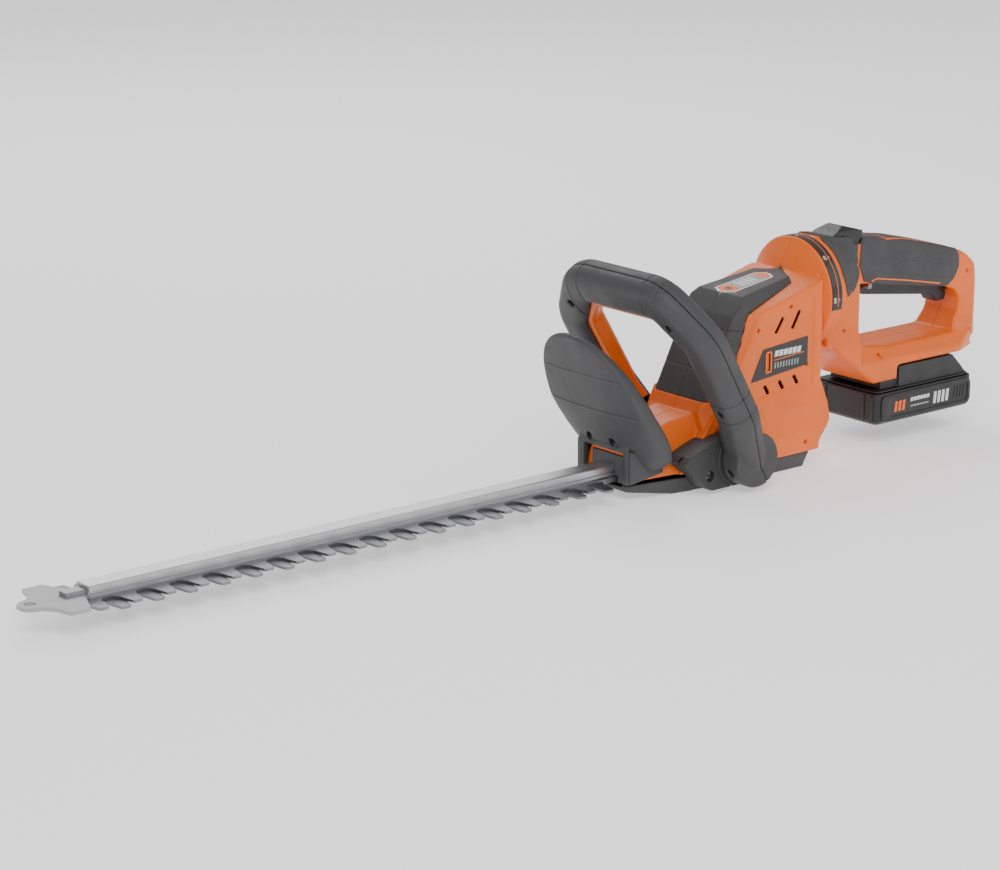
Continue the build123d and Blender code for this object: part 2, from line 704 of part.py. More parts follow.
def cam(centre, low_z, height):
    """An eccentric disc keyed on the gear shaft."""
    with BuildPart(mode=Mode.PRIVATE) as disc:
        with BuildSketch(Plane.XY.offset(low_z)):
            with Locations(centre):
                Circle(cam_r)
            with Locations((gear_x, 0)):
                Circle(shaft_r, mode=Mode.SUBTRACT)
        extrude(amount=height)
    return disc.part


upper_cam = (gear_x + drift, -cross_drift)
lower_cam = (gear_x - drift, cross_drift)
with BuildPart() as eccentric_cams:
    add(cam(upper_cam, upper_rod_z - 0.3, rod_t + 0.6))
    add(cam(lower_cam, lower_rod_z - 0.3, rod_t + 0.6))
write("eccentric_cams", eccentric_cams.part)


def rod(cam_centre, pin_x, low_z):
    """A connecting rod from an eccentric to a blade's pin."""
    run = Vector(pin_x - cam_centre[0], -cam_centre[1])
    heading = degrees(acos(run.X / run.length)) * (1 if run.Y > 0 else -1)
    with BuildPart(mode=Mode.PRIVATE) as link:
        with BuildSketch(Plane.XY.offset(low_z)):
            with Locations(cam_centre):
                Circle(cam_r + 3.5)
            with Locations((pin_x, 0)):
                Circle(pin_r + 3.5)
            with Locations(Location(((cam_centre[0] + pin_x) / 2, cam_centre[1] / 2, 0), (0, 0, heading))):
                Rectangle(rod_length - 8.0, 10.0)
            with Locations(cam_centre):
                Circle(cam_r + slip, mode=Mode.SUBTRACT)
            with Locations((pin_x, 0)):
                Circle(pin_r + 0.4, mode=Mode.SUBTRACT)
        extrude(amount=rod_t)
    return link.part


with BuildPart() as upper_rod:
    add(rod(upper_cam, upper_pin_x, upper_rod_z))
write("upper_rod", upper_rod.part)
with BuildPart() as lower_rod:
    add(rod(lower_cam, lower_pin_x, lower_rod_z))
write("lower_rod", lower_rod.part)

for name, low_z in (("lower_bearing", bearing_z), ("upper_bearing", plate_z)):
    with BuildPart() as bearing:
        with BuildSketch(Plane.XY.offset(low_z)):
            with Locations((gear_x, 0)):
                Circle(bearing_r)
                Circle(shaft_r + slip, mode=Mode.SUBTRACT)
        extrude(amount=bearing_t)
    write(name, bearing.part)

motor_r = 23.0
motor_shaft_r = 2.5
motor_foot_z = plate_z + bearing_t
motor_top_z = motor_foot_z + 52.0
with BuildPart() as gearbox_plate:
    with BuildSketch(Plane.XY.offset(plate_z)):
        with Locations(((gear_x + motor_x) / 2 - 6.0, 0)):
            Rectangle(92.0, 44.0)
        with Locations((gear_x, 0)):
            Circle(bearing_r, mode=Mode.SUBTRACT)
        with Locations((motor_x, 0)):
            Circle(pinion_r + 3.0, mode=Mode.SUBTRACT)
    extrude(amount=bearing_t)
write("gearbox_plate", gearbox_plate.part)

with BuildPart() as motor:
    with BuildSketch(Plane.XY.offset(motor_foot_z)):
        with Locations((motor_x, 0)):
            Circle(motor_r)
            Circle(motor_shaft_r + slip, mode=Mode.SUBTRACT)
    extrude(amount=motor_top_z - motor_foot_z)
write("motor", motor.part)

with BuildPart() as motor_shaft:
    with BuildSketch(Plane.XY.offset(gear_z)):
        with Locations((motor_x, 0)):
            Circle(motor_shaft_r)
    extrude(amount=motor_top_z + 14.0 - gear_z)
write("motor_shaft", motor_shaft.part)

with BuildPart() as pinion:
    extrude(flat(Plane.XY.offset(gear_z), gear_outline(pinion_teeth, motor_x, 180.0 / pinion_teeth)),
            amount=gear_t + 1.0)
    with BuildSketch(Plane.XY.offset(gear_z)):
        with Locations((motor_x, 0)):
            Circle(motor_shaft_r)
    extrude(amount=gear_t + 1.0, mode=Mode.SUBTRACT)
write("pinion", pinion.part)

with BuildPart() as cooling_fan:
    with BuildSketch(Plane.XY.offset(motor_top_z + 3.0)):
        with Locations((motor_x, 0)):
            Circle(7.0)
            with PolarLocations(11.5, 9, rotate=True):
                Rectangle(13.0, 1.6)
            Circle(motor_shaft_r, mode=Mode.SUBTRACT)
    extrude(amount=8.0)
write("cooling_fan", cooling_fan.part)

# ---------------------------------------------------------------- front handle

loop_plane = Plane(origin=(hub_x, 0, hub_z), x_dir=(0, 1, 0), z_dir=(cos(lean), 0, sin(lean)))
bracket_face = 56.0
leg_top = loop_rise - 46.0


def loop_points(inward):
    """Corners of the loop's line, moved towards its middle."""
    half = [(hub_y - inward, 0.0), (leg_half - 2.0 - inward, 52.0), (leg_half - inward, leg_top),
            (leg_half - 31.0 - 0.5 * inward, loop_rise - 5.0 - inward)]
    return [(-u, v) for u, v in half] + [(u, v) for u, v in reversed(half)]


def tube(inward, across, thick, corner, points):
    """A rounded section swept along the loop."""
    with BuildPart(mode=Mode.PRIVATE) as solid:
        with BuildLine(loop_plane) as line:
            FilletPolyline(*points, radius=26.0)
        path = line.wires()[0]
        with BuildSketch(Plane(origin=path @ 0, x_dir=loop_plane.z_dir, z_dir=path % 0)):
            RectangleRounded(thick, across, corner)
        sweep(path=path)
    return solid.part


def loop_form(inset):
    """The loop with a round hub at the foot of each leg."""
    with BuildPart(mode=Mode.PRIVATE) as form:
        add(tube(0.0, tube_w - 2 * inset, tube_t - 2 * inset, 14.0 - inset, loop_points(0.0)))
        for side in (-1, 1):
            add(round_bar((hub_x, side * (46.0 + inset), hub_z), (0, side, 0), 24.0 - inset,
                          30.0 - 2 * inset))
    return form.part


handle_spots = [(side * u, v) for side in (-1, 1) for u, v in ((61.5, 157.0), (77.0, 66.0), (64.0, 2.0))]


def along_loop(u, v, start, radius, length):
    """A round bar square to the loop's plane, at a point of the loop."""
    return round_bar(loop_plane.from_local_coords(Vector(u, v, start)), loop_plane.z_dir, radius, length)


bar_inward = tube_w / 2 - 0.5
bar_w = 11.0
bar_t = 15.0
bar_start = 36.0


def bar_points(inward):
    """Corners of the switch bar's line, inside the loop."""
    points = loop_points(inward)
    foot = hub_y - inward + (leg_half - 2.0 - hub_y) * bar_start / 52.0
    return [(-foot, bar_start)] + points[1:-1] + [(foot, bar_start)]


loop_outer = loop_form(0.0)
with BuildPart(mode=Mode.PRIVATE) as loop_shell:
    add(loop_outer)
    add(loop_form(wall), mode=Mode.SUBTRACT)
    for u, v in handle_spots:
        add(along_loop(u, v, -tube_t, boss_r, 2 * tube_t) & loop_outer)
    # slot for the switch bar, which sinks further into the tube when it is squeezed
    add(tube(bar_inward, bar_w + 12.0, bar_t + 2 * gap, 1.0, bar_points(bar_inward)), mode=Mode.SUBTRACT)
    # flat inner faces that lie against the brackets
    with Locations((hub_x, 0, hub_z)):
        Box(120.0, 2 * bracket_face + 0.4, 66.0, mode=Mode.SUBTRACT)
    for u, v in handle_spots:
        add(along_loop(u, v, -tube_t, screw_r, 2 * tube_t), mode=Mode.SUBTRACT)
        add(along_loop(u, v, -tube_t, screw_head_r + 0.2, tube_t - 8.0), mode=Mode.SUBTRACT)

for name, keep in (("front_handle_front", Keep.BOTTOM), ("front_handle_rear", Keep.TOP)):
    with BuildPart() as loop_half:
        add(loop_shell.part)
        split(bisect_by=loop_plane.offset(seam if keep == Keep.TOP else -seam), keep=keep)
    write(name, loop_half.part)

with BuildPart() as front_handle_screws:
    for u, v in handle_spots:
        head = loop_plane.from_local_coords(Vector(u, v, -8.0 - 2.3))
        add(screw(head, loop_plane.z_dir, 15.0))
write("front_handle_screws", front_handle_screws.part)

with BuildPart() as switch_bar:
    add(tube(bar_inward, bar_w, bar_t, 3.0, bar_points(bar_inward)))
write("switch_bar", switch_bar.part)

with BuildPart() as front_switch:
    with BuildSketch(loop_plane.offset(-5.0)):
        with Locations((0, loop_rise - 5.0)):
            Rectangle(22.0, 8.0)
    extrude(amount=10.0)
write("front_switch", front_switch.part)

bracket_spots = [(-52.5, 17.2)]
for side, hand in ((-1, "left"), (1, "right")):
    with BuildPart() as bracket:
        pad = [(-82.0, 32.0), (-56.0, 6.0), (-50.0, 3.6), (4.0, 3.6), (10.0, 12.0), (10.0, 44.0),
               (2.0, 54.0), (-28.0, 54.0), (-76.0, 37.0)]
        extrude(flat(Plane.XZ.offset(-side * 30.0), pad), amount=-side * (bracket_face - 30.0))
        add(outer_form, mode=Mode.SUBTRACT)
        add(tray_form(0.0), mode=Mode.SUBTRACT)
        add(guard.part, mode=Mode.SUBTRACT)
        for spot_x, spot_z in bracket_spots:
            add(round_bar((spot_x, 0, spot_z), (0, side, 0), screw_r, 90.0), mode=Mode.SUBTRACT)
            add(round_bar((spot_x, side * (bracket_face - 6.0), spot_z), (0, side, 0),
                          screw_head_r + 1.0, 20.0), mode=Mode.SUBTRACT)
    largest = bracket.part.solids().sort_by(SortBy.VOLUME)[-1]
    write("handle_bracket_" + hand, Part(largest.wrapped))

with BuildPart() as bracket_screws:
    for side in (-1, 1):
        for spot_x, spot_z in bracket_spots:
            add(screw((spot_x, side * (bracket_face - 3.8), spot_z), (0, -side, 0), 8.0))
write("bracket_screws", bracket_screws.part)

with BuildPart() as housing_screws:
    for spot_x, spot_z in screw_spots:
        add(screw((spot_x, -18.3, spot_z), (0, 1, 0), 26.0))
write("housing_screws", housing_screws.part)

# ---------------------------------------------------------------- rear handle

floor_z = swivel_z - 59.5
step_x = handle_x + 89.6
skirt_z = swivel_z - 90.0
foot_z = swivel_z - 77.4        # flat underside, which the battery slides along
rail_block_top_z = foot_z - 0.6


def behind(points):
    """Points given from the collar's front and the swivel's axis."""
    return [(handle_x + x, swivel_z + z) for x, z in points]


side_view = behind([(0.0, ring_r - 1.0), (7.6, 49.0), (76.6, 39.0), (111.1, 33.0), (147.6, 24.0),
                    (183.6, 14.0), (192.0, 9.0), (201.0, 0.5), (210.0, -18.0), (208.0, -34.0),
                    (208.0, -55.0), (handle_end, -75.0), (handle_end - 5.0, -77.4), (89.6, -77.4),
                    (88.6, -90.0), (58.6, -90.0), (14.6, -56.0), (7.6, -48.0), (0.0, -48.0)])
finger_gap = behind([(51.6, 1.0), (44.6, -10.0), (43.6, -46.0), (54.6, -56.0), (82.6, -59.5),
                     (170.6, -59.5), (180.2, -42.0), (181.6, -30.0), (174.6, -21.0), (159.6, -16.0)])
handle_plan = mirrored([(handle_x - 10.0, 2 * foot_half), (pack_rear_x - 14.0, foot_half + 1.0),
                        (handle_x + 202.0, grip_half), (handle_x + handle_end, 12.0)])
across_front = section([(foot_half, swivel_z - 98.0), (foot_half, swivel_z - 60.0),
                        (column_half, swivel_z - 36.0), (column_half, swivel_z + 2.0),
                        (column_half - 6.0, swivel_z + 32.0), (10.0, swivel_z + 54.0)])
across_rear = section([(foot_half, swivel_z - 98.0), (foot_half, swivel_z - 71.0),
                       (grip_half + 3.0, floor_z + 1.0), (grip_half, swivel_z - 48.0),
                       (grip_half + 1.0, swivel_z + 2.0), (grip_half - 1.0, swivel_z + 20.0),
                       (grip_half - 8.0, swivel_z + 42.0), (6.0, swivel_z + 54.0)])


def handle_form(inset):
    """The closed handle: collar, front column, grip, rear column and foot."""
    with BuildPart(mode=Mode.PRIVATE) as rear:
        extrude(flat(Plane.XZ, side_view, inset), amount=60.0, both=True)
        extrude(flat(Plane.YZ.offset(handle_x + 41.6), across_rear, inset), amount=240.0,
                mode=Mode.INTERSECT)
        extrude(flat(Plane.XY, handle_plan, inset), amount=2 * swivel_z, mode=Mode.INTERSECT)
        extrude(flat(Plane.XZ, finger_gap, -inset), amount=60.0, both=True, mode=Mode.SUBTRACT)
    with BuildPart(mode=Mode.PRIVATE) as front:
        extrude(flat(Plane.XZ, side_view, inset), amount=60.0, both=True)
        extrude(flat(Plane.YZ.offset(handle_x + inset), across_front, inset),
                amount=42.6 - inset, mode=Mode.INTERSECT)
    with BuildPart(mode=Mode.PRIVATE) as form:
        add(rear.part)
        add(front.part)
        # round collar that narrows into the grip
        with BuildSketch(Plane.YZ.offset(handle_x + inset)):
            with Locations((0, swivel_z)):
                Circle(ring_r - 0.6 - inset)
        with BuildSketch(Plane.YZ.offset(handle_x + 43.6)):
            with Locations((0, swivel_z + 18.0)):
                Ellipse(grip_half + 4.0 - inset, 25.0 - inset)
        loft(ruled=True)
        extrude(flat(Plane.XZ, finger_gap, -inset), amount=60.0, both=True, mode=Mode.SUBTRACT)
    return form.part


trigger_profile = behind([(56.6, 1.0), (58.6, -10.5), (67.6, -13.0), (159.6, -26.0), (164.6, -33.5),
                          (175.6, -33.0), (177.1, -26.0), (168.6, -19.0), (153.6, -11.0), (71.6, 4.0)])
trigger_pivot = behind([(64.6, -3.0)])[0]
trigger_pin_r = 2.5


def trigger_solid(grow, turn):
    """The trigger, grown by a clearance and turned about its pin."""
    with BuildPart(mode=Mode.PRIVATE) as body:
        extrude(flat(Plane.XZ, trigger_profile, -grow), amount=trigger_half + grow, both=True)
    pivot = Axis((trigger_pivot[0], 0, trigger_pivot[1]), (0, -1, 0))
    return body.part.rotate(pivot, turn)


lever_profile = behind([(18.6, 38.0), (20.6, 46.5), (38.6, 54.0), (59.6, 48.0), (54.6, 36.0)])
lever_half = 14.0
lever_travel = 4.0
tongue_half = 17.5
tongue_head = 22.5
tongue_z = foot_z + 2.9
tongue_top_z = tongue_z + 4.5
rest_clear = 0.5


def tongue(extra, low_z, start_x, end_x):
    """The T-shaped rail that joins battery and handle."""
    shape = section([(tongue_half + extra, low_z), (tongue_half + extra, tongue_z - extra),
                     (tongue_head + extra, tongue_z - extra), (tongue_head + extra, tongue_top_z + extra)])
    with BuildPart(mode=Mode.PRIVATE) as rail:
        extrude(flat(Plane.YZ.offset(start_x), shape), amount=end_x - start_x)
    return rail.part


pack_block_x = pack_front_x + 13.0
handle_outer = handle_form(0.0)
handle_rear_x = handle_x + handle_end
handle_spots_xz = behind([(23.6, -36.0), (41.6, 20.0), (192.0, -6.0), (195.0, -61.0), (69.6, -66.0)])
with BuildPart() as rail_bed:
    with Locations(((pack_block_x + handle_rear_x) / 2, 0, (foot_z + tongue_top_z) / 2)):
        Box(handle_rear_x - pack_block_x, 60.0, tongue_top_z - foot_z + 7.0)

with BuildPart(mode=Mode.PRIVATE) as handle_shell:
    add(handle_outer)
    add(handle_form(wall), mode=Mode.SUBTRACT)
    for spot_x, spot_z in handle_spots_xz:
        add(round_bar((spot_x, -50.0, spot_z), (0, 1, 0), boss_r, 100.0) & handle_outer)
    # solid bed that carries the battery's rail
    add(rail_bed.part & handle_outer)
    add(tongue(rest_clear, skirt_z - 18.0, pack_block_x - 2.0, handle_rear_x + 10.0), mode=Mode.SUBTRACT)
    # room for the front of the battery behind the skirt
    with Locations(((pack_front_x + wall + step_x + 1.0) / 2, 0, skirt_z + 3.0)):
        Box(step_x + 1.0 - pack_front_x - wall, 2 * (foot_half - wall), 20.0, mode=Mode.SUBTRACT)
    # tube and flange of the swivel
    with BuildSketch(Plane.YZ.offset(ring_rear_x - 12.0)):
        with Locations((0, swivel_z)):
            Circle(spigot_r)
    extrude(amount=14.0)
    with BuildSketch(Plane.YZ.offset(ring_rear_x - 9.0)):
        with Locations((0, swivel_z)):
            Circle(flange_r)
    extrude(amount=4.6)
    with BuildSketch(Plane.YZ.offset(ring_rear_x - 13.0)):
        with Locations((0, swivel_z)):
            Circle(spigot_r - 6.0)
    extrude(amount=20.0, mode=Mode.SUBTRACT)
    # slot that the trigger moves in
    for turn in (0.0, 0.5 * trigger_angle, trigger_angle):
        add(trigger_solid(0.8, turn), mode=Mode.SUBTRACT)
    add(round_bar((trigger_pivot[0], 1.0 - grip_half, trigger_pivot[1]), (0, 1, 0), trigger_pin_r,
                  2 * grip_half - 2.0), mode=Mode.SUBTRACT)
    # pocket of the swivel lock lever
    pocket = [(x, z) for x, z in lever_profile]
    for shift in (0.0, lever_travel):
        moved = [(x + shift, z) for x, z in pocket]
        extrude(flat(Plane.XZ, moved, -gap), amount=lever_half + gap, both=True, mode=Mode.SUBTRACT)
    for spot_x, spot_z in handle_spots_xz:
        add(round_bar((spot_x, -50.0, spot_z), (0, 1, 0), screw_r, 100.0), mode=Mode.SUBTRACT)
        add(round_bar((spot_x, -14.0, spot_z), (0, -1, 0), screw_head_r + 0.2, 50.0), mode=Mode.SUBTRACT)

for side, hand in ((-1, "left"), (1, "right")):
    with BuildPart() as handle_half:
        add(half_of(handle_shell.part, side))
    write("rear_handle_" + hand, handle_half.part)

skin_t = 1.0
handle_grown = handle_form(-skin_t)
grip_region = behind([(67.6, 62.0), (49.6, 18.0), (55.6, 2.0), (153.6, -17.0), (163.6, -15.0),
                      (174.6, -2.0), (182.6, 12.0), (189.6, 30.0), (191.6, 62.0)])
saddle_region = behind([(7.1, 62.0), (7.1, 18.0), (13.6, 2.0), (24.6, -2.0), (34.6, 1.0),
                        (46.1, 18.0), (62.6, 62.0)])
for name, region in (("grip_overmould", grip_region), ("saddle_overmould", saddle_region)):
    with BuildPart() as skin:
        add(handle_grown)
        add(handle_outer, mode=Mode.SUBTRACT)
        extrude(flat(Plane.XZ, region), amount=60.0, both=True, mode=Mode.INTERSECT)
        for shift in (0.0, lever_travel):
            moved = [(x + shift, z) for x, z in lever_profile]
            extrude(flat(Plane.XZ, moved, -gap), amount=lever_half + gap, both=True, mode=Mode.SUBTRACT)
        for turn in (0.0, trigger_angle):
            add(trigger_solid(0.8, turn), mode=Mode.SUBTRACT)
    skins = [solid for solid in skin.part.solids() if solid.volume > 300.0]
    write(name, Part(Compound(skins).wrapped))

with BuildPart() as trigger:
    add(trigger_solid(0.0, 0.0))
    add(round_bar((trigger_pivot[0], -20.0, trigger_pivot[1]), (0, 1, 0), trigger_pin_r + slip, 40.0),
        mode=Mode.SUBTRACT)
write("trigger", trigger.part)
with BuildPart() as trigger_pin:
    add(round_bar((trigger_pivot[0], 1.0 - grip_half, trigger_pivot[1]), (0, 1, 0), trigger_pin_r,
                  2 * grip_half - 2.0))
write("trigger_pin", trigger_pin.part)

with BuildPart() as trigger_switch:
    with Locations((handle_x + 113.6, 0, swivel_z + 15.5)):
        Box(34.0, 18.0, 12.0)
write("trigger_switch", trigger_switch.part)

with BuildPart() as swivel_lever:
    extrude(flat(Plane.XZ, lever_profile), amount=lever_half, both=True)
    for side in (-1, 1):
        bevel = (handle_x + 38.6, side * (lever_half + 3.0), swivel_z + 56.0)
        with Locations(Location(bevel, (side * -45.0, 0, 0))):
            Box(60.0, 14.0, 14.0, mode=Mode.SUBTRACT)
write("swivel_lever", swivel_lever.part)

with BuildPart() as terminal_block:
    with Locations((pack_block_x + 36.0, 0, tongue_top_z + 5.0)):
        Box(20.0, 34.0, 2.6)
write("terminal_block", terminal_block.part)

# ---------------------------------------------------------------- battery

lid_z = pack_top_z
with BuildPart(mode=Mode.PRIVATE) as pack_form:
    with BuildSketch(Plane.XY.offset(pack_z)):
        with Locations(((pack_front_x + pack_rear_x) / 2, 0)):
            RectangleRounded(pack_rear_x - pack_front_x, 2 * pack_half, 7.0)
    extrude(amount=lid_z - pack_z)
    chamfer(pack_form.faces().sort_by(Axis.Z)[0].edges(), 3.0)

with BuildPart() as battery_case:
    add(pack_form.part)
    with Locations(((pack_front_x + pack_rear_x) / 2, 0, (pack_z + lid_z) / 2 + 2.0)):
        Box(pack_rear_x - pack_front_x - 5.0, 2 * pack_half - 5.0, lid_z - pack_z, mode=Mode.SUBTRACT)
write("battery_case", battery_case.part)

with BuildPart() as battery_lid:
    block = [(pack_block_x, lid_z + 2.0), (pack_block_x, rail_block_top_z - 0.2),
             (pack_rear_x - 22.0, rail_block_top_z - 0.2), (pack_rear_x - 4.0, lid_z + 2.0)]
    with BuildSketch(Plane.XY.offset(lid_z)):
        with Locations(((pack_front_x + pack_rear_x) / 2, 0)):
            RectangleRounded(pack_rear_x - pack_front_x - 4.0, 2 * pack_half - 4.0, 6.0)
    extrude(amount=2.0)
    extrude(flat(Plane.XZ, block), amount=foot_half - 0.5, both=True)
    # narrower where the handle's skirt covers it
    for side in (-1, 1):
        with Locations(((pack_block_x + step_x) / 2 - 1.0, side * (foot_half + 0.9), skirt_z + 4.0)):
            Box(step_x - pack_block_x + 4.0, 9.0, 21.9, mode=Mode.SUBTRACT)
    add(tongue(0.0, rail_block_top_z - 2.0, pack_block_x, pack_rear_x - 24.0))
    # hollow, with a pocket for the release button
    with Locations(((pack_block_x + pack_rear_x) / 2 - 14.0, 0, (lid_z + rail_block_top_z) / 2 - 3.0)):
        Box(pack_rear_x - pack_block_x - 40.0, 2 * foot_half - 18.0, rail_block_top_z - lid_z - 2.0,
            mode=Mode.SUBTRACT)
    with Locations((pack_rear_x - 14.0, 0, rail_block_top_z - 4.0)):
        Box(18.0, 24.0, 22.0, mode=Mode.SUBTRACT)
write("battery_lid", battery_lid.part)

with BuildPart() as battery_button:
    with Locations((pack_rear_x - 15.0, 0, rail_block_top_z - 5.0)):
        Box(14.0, 23.0, 9.0)
write("battery_button", battery_button.part)

cell_z = pack_z + 2.6 + cell_r + 1.0
cell_start_x = (pack_front_x + pack_rear_x) / 2 - (cell_count - 1) * (cell_r + 0.4)
with BuildPart() as battery_cells:
    for step in range(cell_count):
        add(round_bar((cell_start_x + step * 2 * (cell_r + 0.4), -cell_length / 2, cell_z), (0, 1, 0),
                      cell_r, cell_length))
write("battery_cells", battery_cells.part)
with BuildPart() as battery_board:
    with Locations(((pack_front_x + pack_rear_x) / 2, 0, cell_z + cell_r + 1.6)):
        Box(90.0, 56.0, 1.6)
write("battery_board", battery_board.part)
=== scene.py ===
import json
from math import cos, pi, radians, sin

import bmesh
import bpy
import numpy as np
from mathutils import Matrix, Vector
from mathutils.bvhtree import BVHTree


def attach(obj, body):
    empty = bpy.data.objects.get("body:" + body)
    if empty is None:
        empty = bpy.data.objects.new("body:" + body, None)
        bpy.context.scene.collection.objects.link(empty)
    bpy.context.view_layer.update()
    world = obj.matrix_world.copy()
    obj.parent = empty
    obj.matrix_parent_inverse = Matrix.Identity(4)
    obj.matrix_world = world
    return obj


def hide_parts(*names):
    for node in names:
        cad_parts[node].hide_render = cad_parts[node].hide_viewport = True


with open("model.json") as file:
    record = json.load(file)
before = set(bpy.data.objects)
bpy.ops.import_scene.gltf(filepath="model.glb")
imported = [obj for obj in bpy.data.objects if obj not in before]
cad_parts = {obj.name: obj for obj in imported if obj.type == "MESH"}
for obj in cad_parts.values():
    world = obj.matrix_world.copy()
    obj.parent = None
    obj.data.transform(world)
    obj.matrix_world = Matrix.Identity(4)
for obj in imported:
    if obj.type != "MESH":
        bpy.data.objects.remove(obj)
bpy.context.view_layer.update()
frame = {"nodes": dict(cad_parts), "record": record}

MM = 0.001

# ------------------------------------------------------------------ camera, light and floor

AZIMUTH = radians(-39.37)
ELEVATION = radians(15.42)
LENS_MM = 111.74
CAMERA_AT = Vector((-1806.0, -1909.2, 755.8)) * MM
LAMP_TARGET = (0.0, 0.0, 0.1)
LAMPS = (("key", (-1.4, -1.6, 2.2), 1.6, 42), ("fill", (1.6, -1.8, 1.2), 1.8, 14),
         ("rim", (0.6, 1.8, 1.8), 1.6, 26))
FLOOR_REACH = 12.0
FLOOR_GLOW = 0.55
SKY_GLOW = 0.55


def linked(name, data):
    """A new object in the scene, around a mesh, a camera or a lamp."""
    item = bpy.data.objects.new(name, data)
    bpy.context.scene.collection.objects.link(item)
    return item


def add_camera():
    """The photograph's viewpoint: from the operator's left, ahead of the tool, a little above."""
    data = bpy.data.cameras.new("camera")
    data.lens = LENS_MM
    data.sensor_width = 36.0
    data.clip_start = 0.05
    camera = linked("camera", data)
    back = Vector((sin(AZIMUTH) * cos(ELEVATION), -cos(AZIMUTH) * cos(ELEVATION), sin(ELEVATION)))
    right = Vector((cos(AZIMUTH), sin(AZIMUTH), 0.0))
    up = back.cross(right)
    turn = Matrix((right, up, back)).transposed().to_4x4()
    camera.matrix_world = Matrix.Translation(CAMERA_AT) @ turn
    bpy.context.scene.camera = camera


def add_area(name, at, toward, size, power):
    """A soft square lamp that looks at a point."""
    data = bpy.data.lights.new(name, "AREA")
    data.shape = "SQUARE"
    data.size = size
    data.energy = power
    lamp = linked(name, data)
    lamp.location = at
    lamp.rotation_euler = (Vector(toward) - Vector(at)).to_track_quat("-Z", "Y").to_euler()


def add_stage():
    """A plain pale floor, an even pale world and three soft lamps."""
    mesh = bpy.data.meshes.new("floor")
    corners = [(-1, -1), (1, -1), (1, 1), (-1, 1)]
    mesh.from_pydata([(x * FLOOR_REACH, y * FLOOR_REACH, 0) for x, y in corners], [], [(0, 1, 2, 3)])
    floor = linked("floor", mesh)
    paint = bpy.data.materials.new("floor_paint")
    paint.use_nodes = True
    shader = paint.node_tree.nodes["Principled BSDF"]
    shader.inputs["Base Color"].default_value = (0.9, 0.9, 0.9, 1)
    shader.inputs["Roughness"].default_value = 0.85
    shader.inputs["Emission Color"].default_value = (1, 1, 1, 1)
    shader.inputs["Emission Strength"].default_value = FLOOR_GLOW
    floor.data.materials.append(paint)
    world = bpy.data.worlds.new("sky")
    world.use_nodes = True
    world.node_tree.nodes["Background"].inputs["Color"].default_value = (1, 1, 1, 1)
    world.node_tree.nodes["Background"].inputs["Strength"].default_value = SKY_GLOW
    bpy.context.scene.world = world
    for name, at, size, power in LAMPS:
        add_area(name, at, LAMP_TARGET, size, power)


# ------------------------------------------------------------------ materials

ORANGE = (0.85, 0.14, 0.0005)
GREY = (0.05, 0.05, 0.053)
DARK = (0.034, 0.034, 0.036)
BLACK = (0.012, 0.012, 0.013)


class Shade:
    """A material under construction: its nodes, its links and its shader."""

    def __init__(self, name):
        self.material = bpy.data.materials.new(name)
        self.material.use_nodes = True
        self.tree = self.material.node_tree
        self.shader = self.tree.nodes["Principled BSDF"]
        self.where = self.add("ShaderNodeTexCoord").outputs["Object"]

    def add(self, kind, **settings):
        node = self.tree.nodes.new(kind)
        for key, value in settings.items():
            setattr(node, key, value)
        return node

    def link(self, source, target):
        self.tree.links.new(source, target)

    def noise(self, scale, detail=2.0, stretch=(1.0, 1.0, 1.0)):
        """A noise pattern in metres; stretch squeezes it along an axis."""
        mapping = self.add("ShaderNodeMapping")
        mapping.inputs["Scale"].default_value = stretch
        self.link(self.where, mapping.inputs["Vector"])
        node = self.add("ShaderNodeTexNoise")
        node.inputs["Scale"].default_value = scale
        node.inputs["Detail"].default_value = detail
        self.link(mapping.outputs["Vector"], node.inputs["Vector"])
        return node.outputs["Fac"]

    def ramp(self, source, low, high, low_value, high_value):
        """Maps a span of a pattern to a span of values."""
        node = self.add("ShaderNodeMapRange")
        node.inputs["From Min"].default_value = low
        node.inputs["From Max"].default_value = high
        node.inputs["To Min"].default_value = low_value
        node.inputs["To Max"].default_value = high_value
        self.link(source, node.inputs["Value"])
        return node.outputs["Result"]

    def mix(self, factor, first, second):
        """A colour between two colours; either may be a socket."""
        node = self.add("ShaderNodeMix", data_type="RGBA")
        for socket, value in ((node.inputs[6], first), (node.inputs[7], second)):
            if isinstance(value, tuple):
                socket.default_value = (*value, 1.0)
            else:
                self.link(value, socket)
        self.link(factor, node.inputs[0])
        return node.outputs[2]

    def bump(self, height, strength, distance, under=None):
        node = self.add("ShaderNodeBump")
        node.inputs["Strength"].default_value = strength
        node.inputs["Distance"].default_value = distance
        self.link(height, node.inputs["Height"])
        if under is not None:
            self.link(under, node.inputs["Normal"])
        return node.outputs["Normal"]

    def finish(self, colour, roughness, normal):
        self.link(colour, self.shader.inputs["Base Color"])
        self.link(roughness, self.shader.inputs["Roughness"])
        self.link(normal, self.shader.inputs["Normal"])
        return self.material


def tinted(colour, factor):
    return tuple(min(channel * factor, 1.0) for channel in colour)


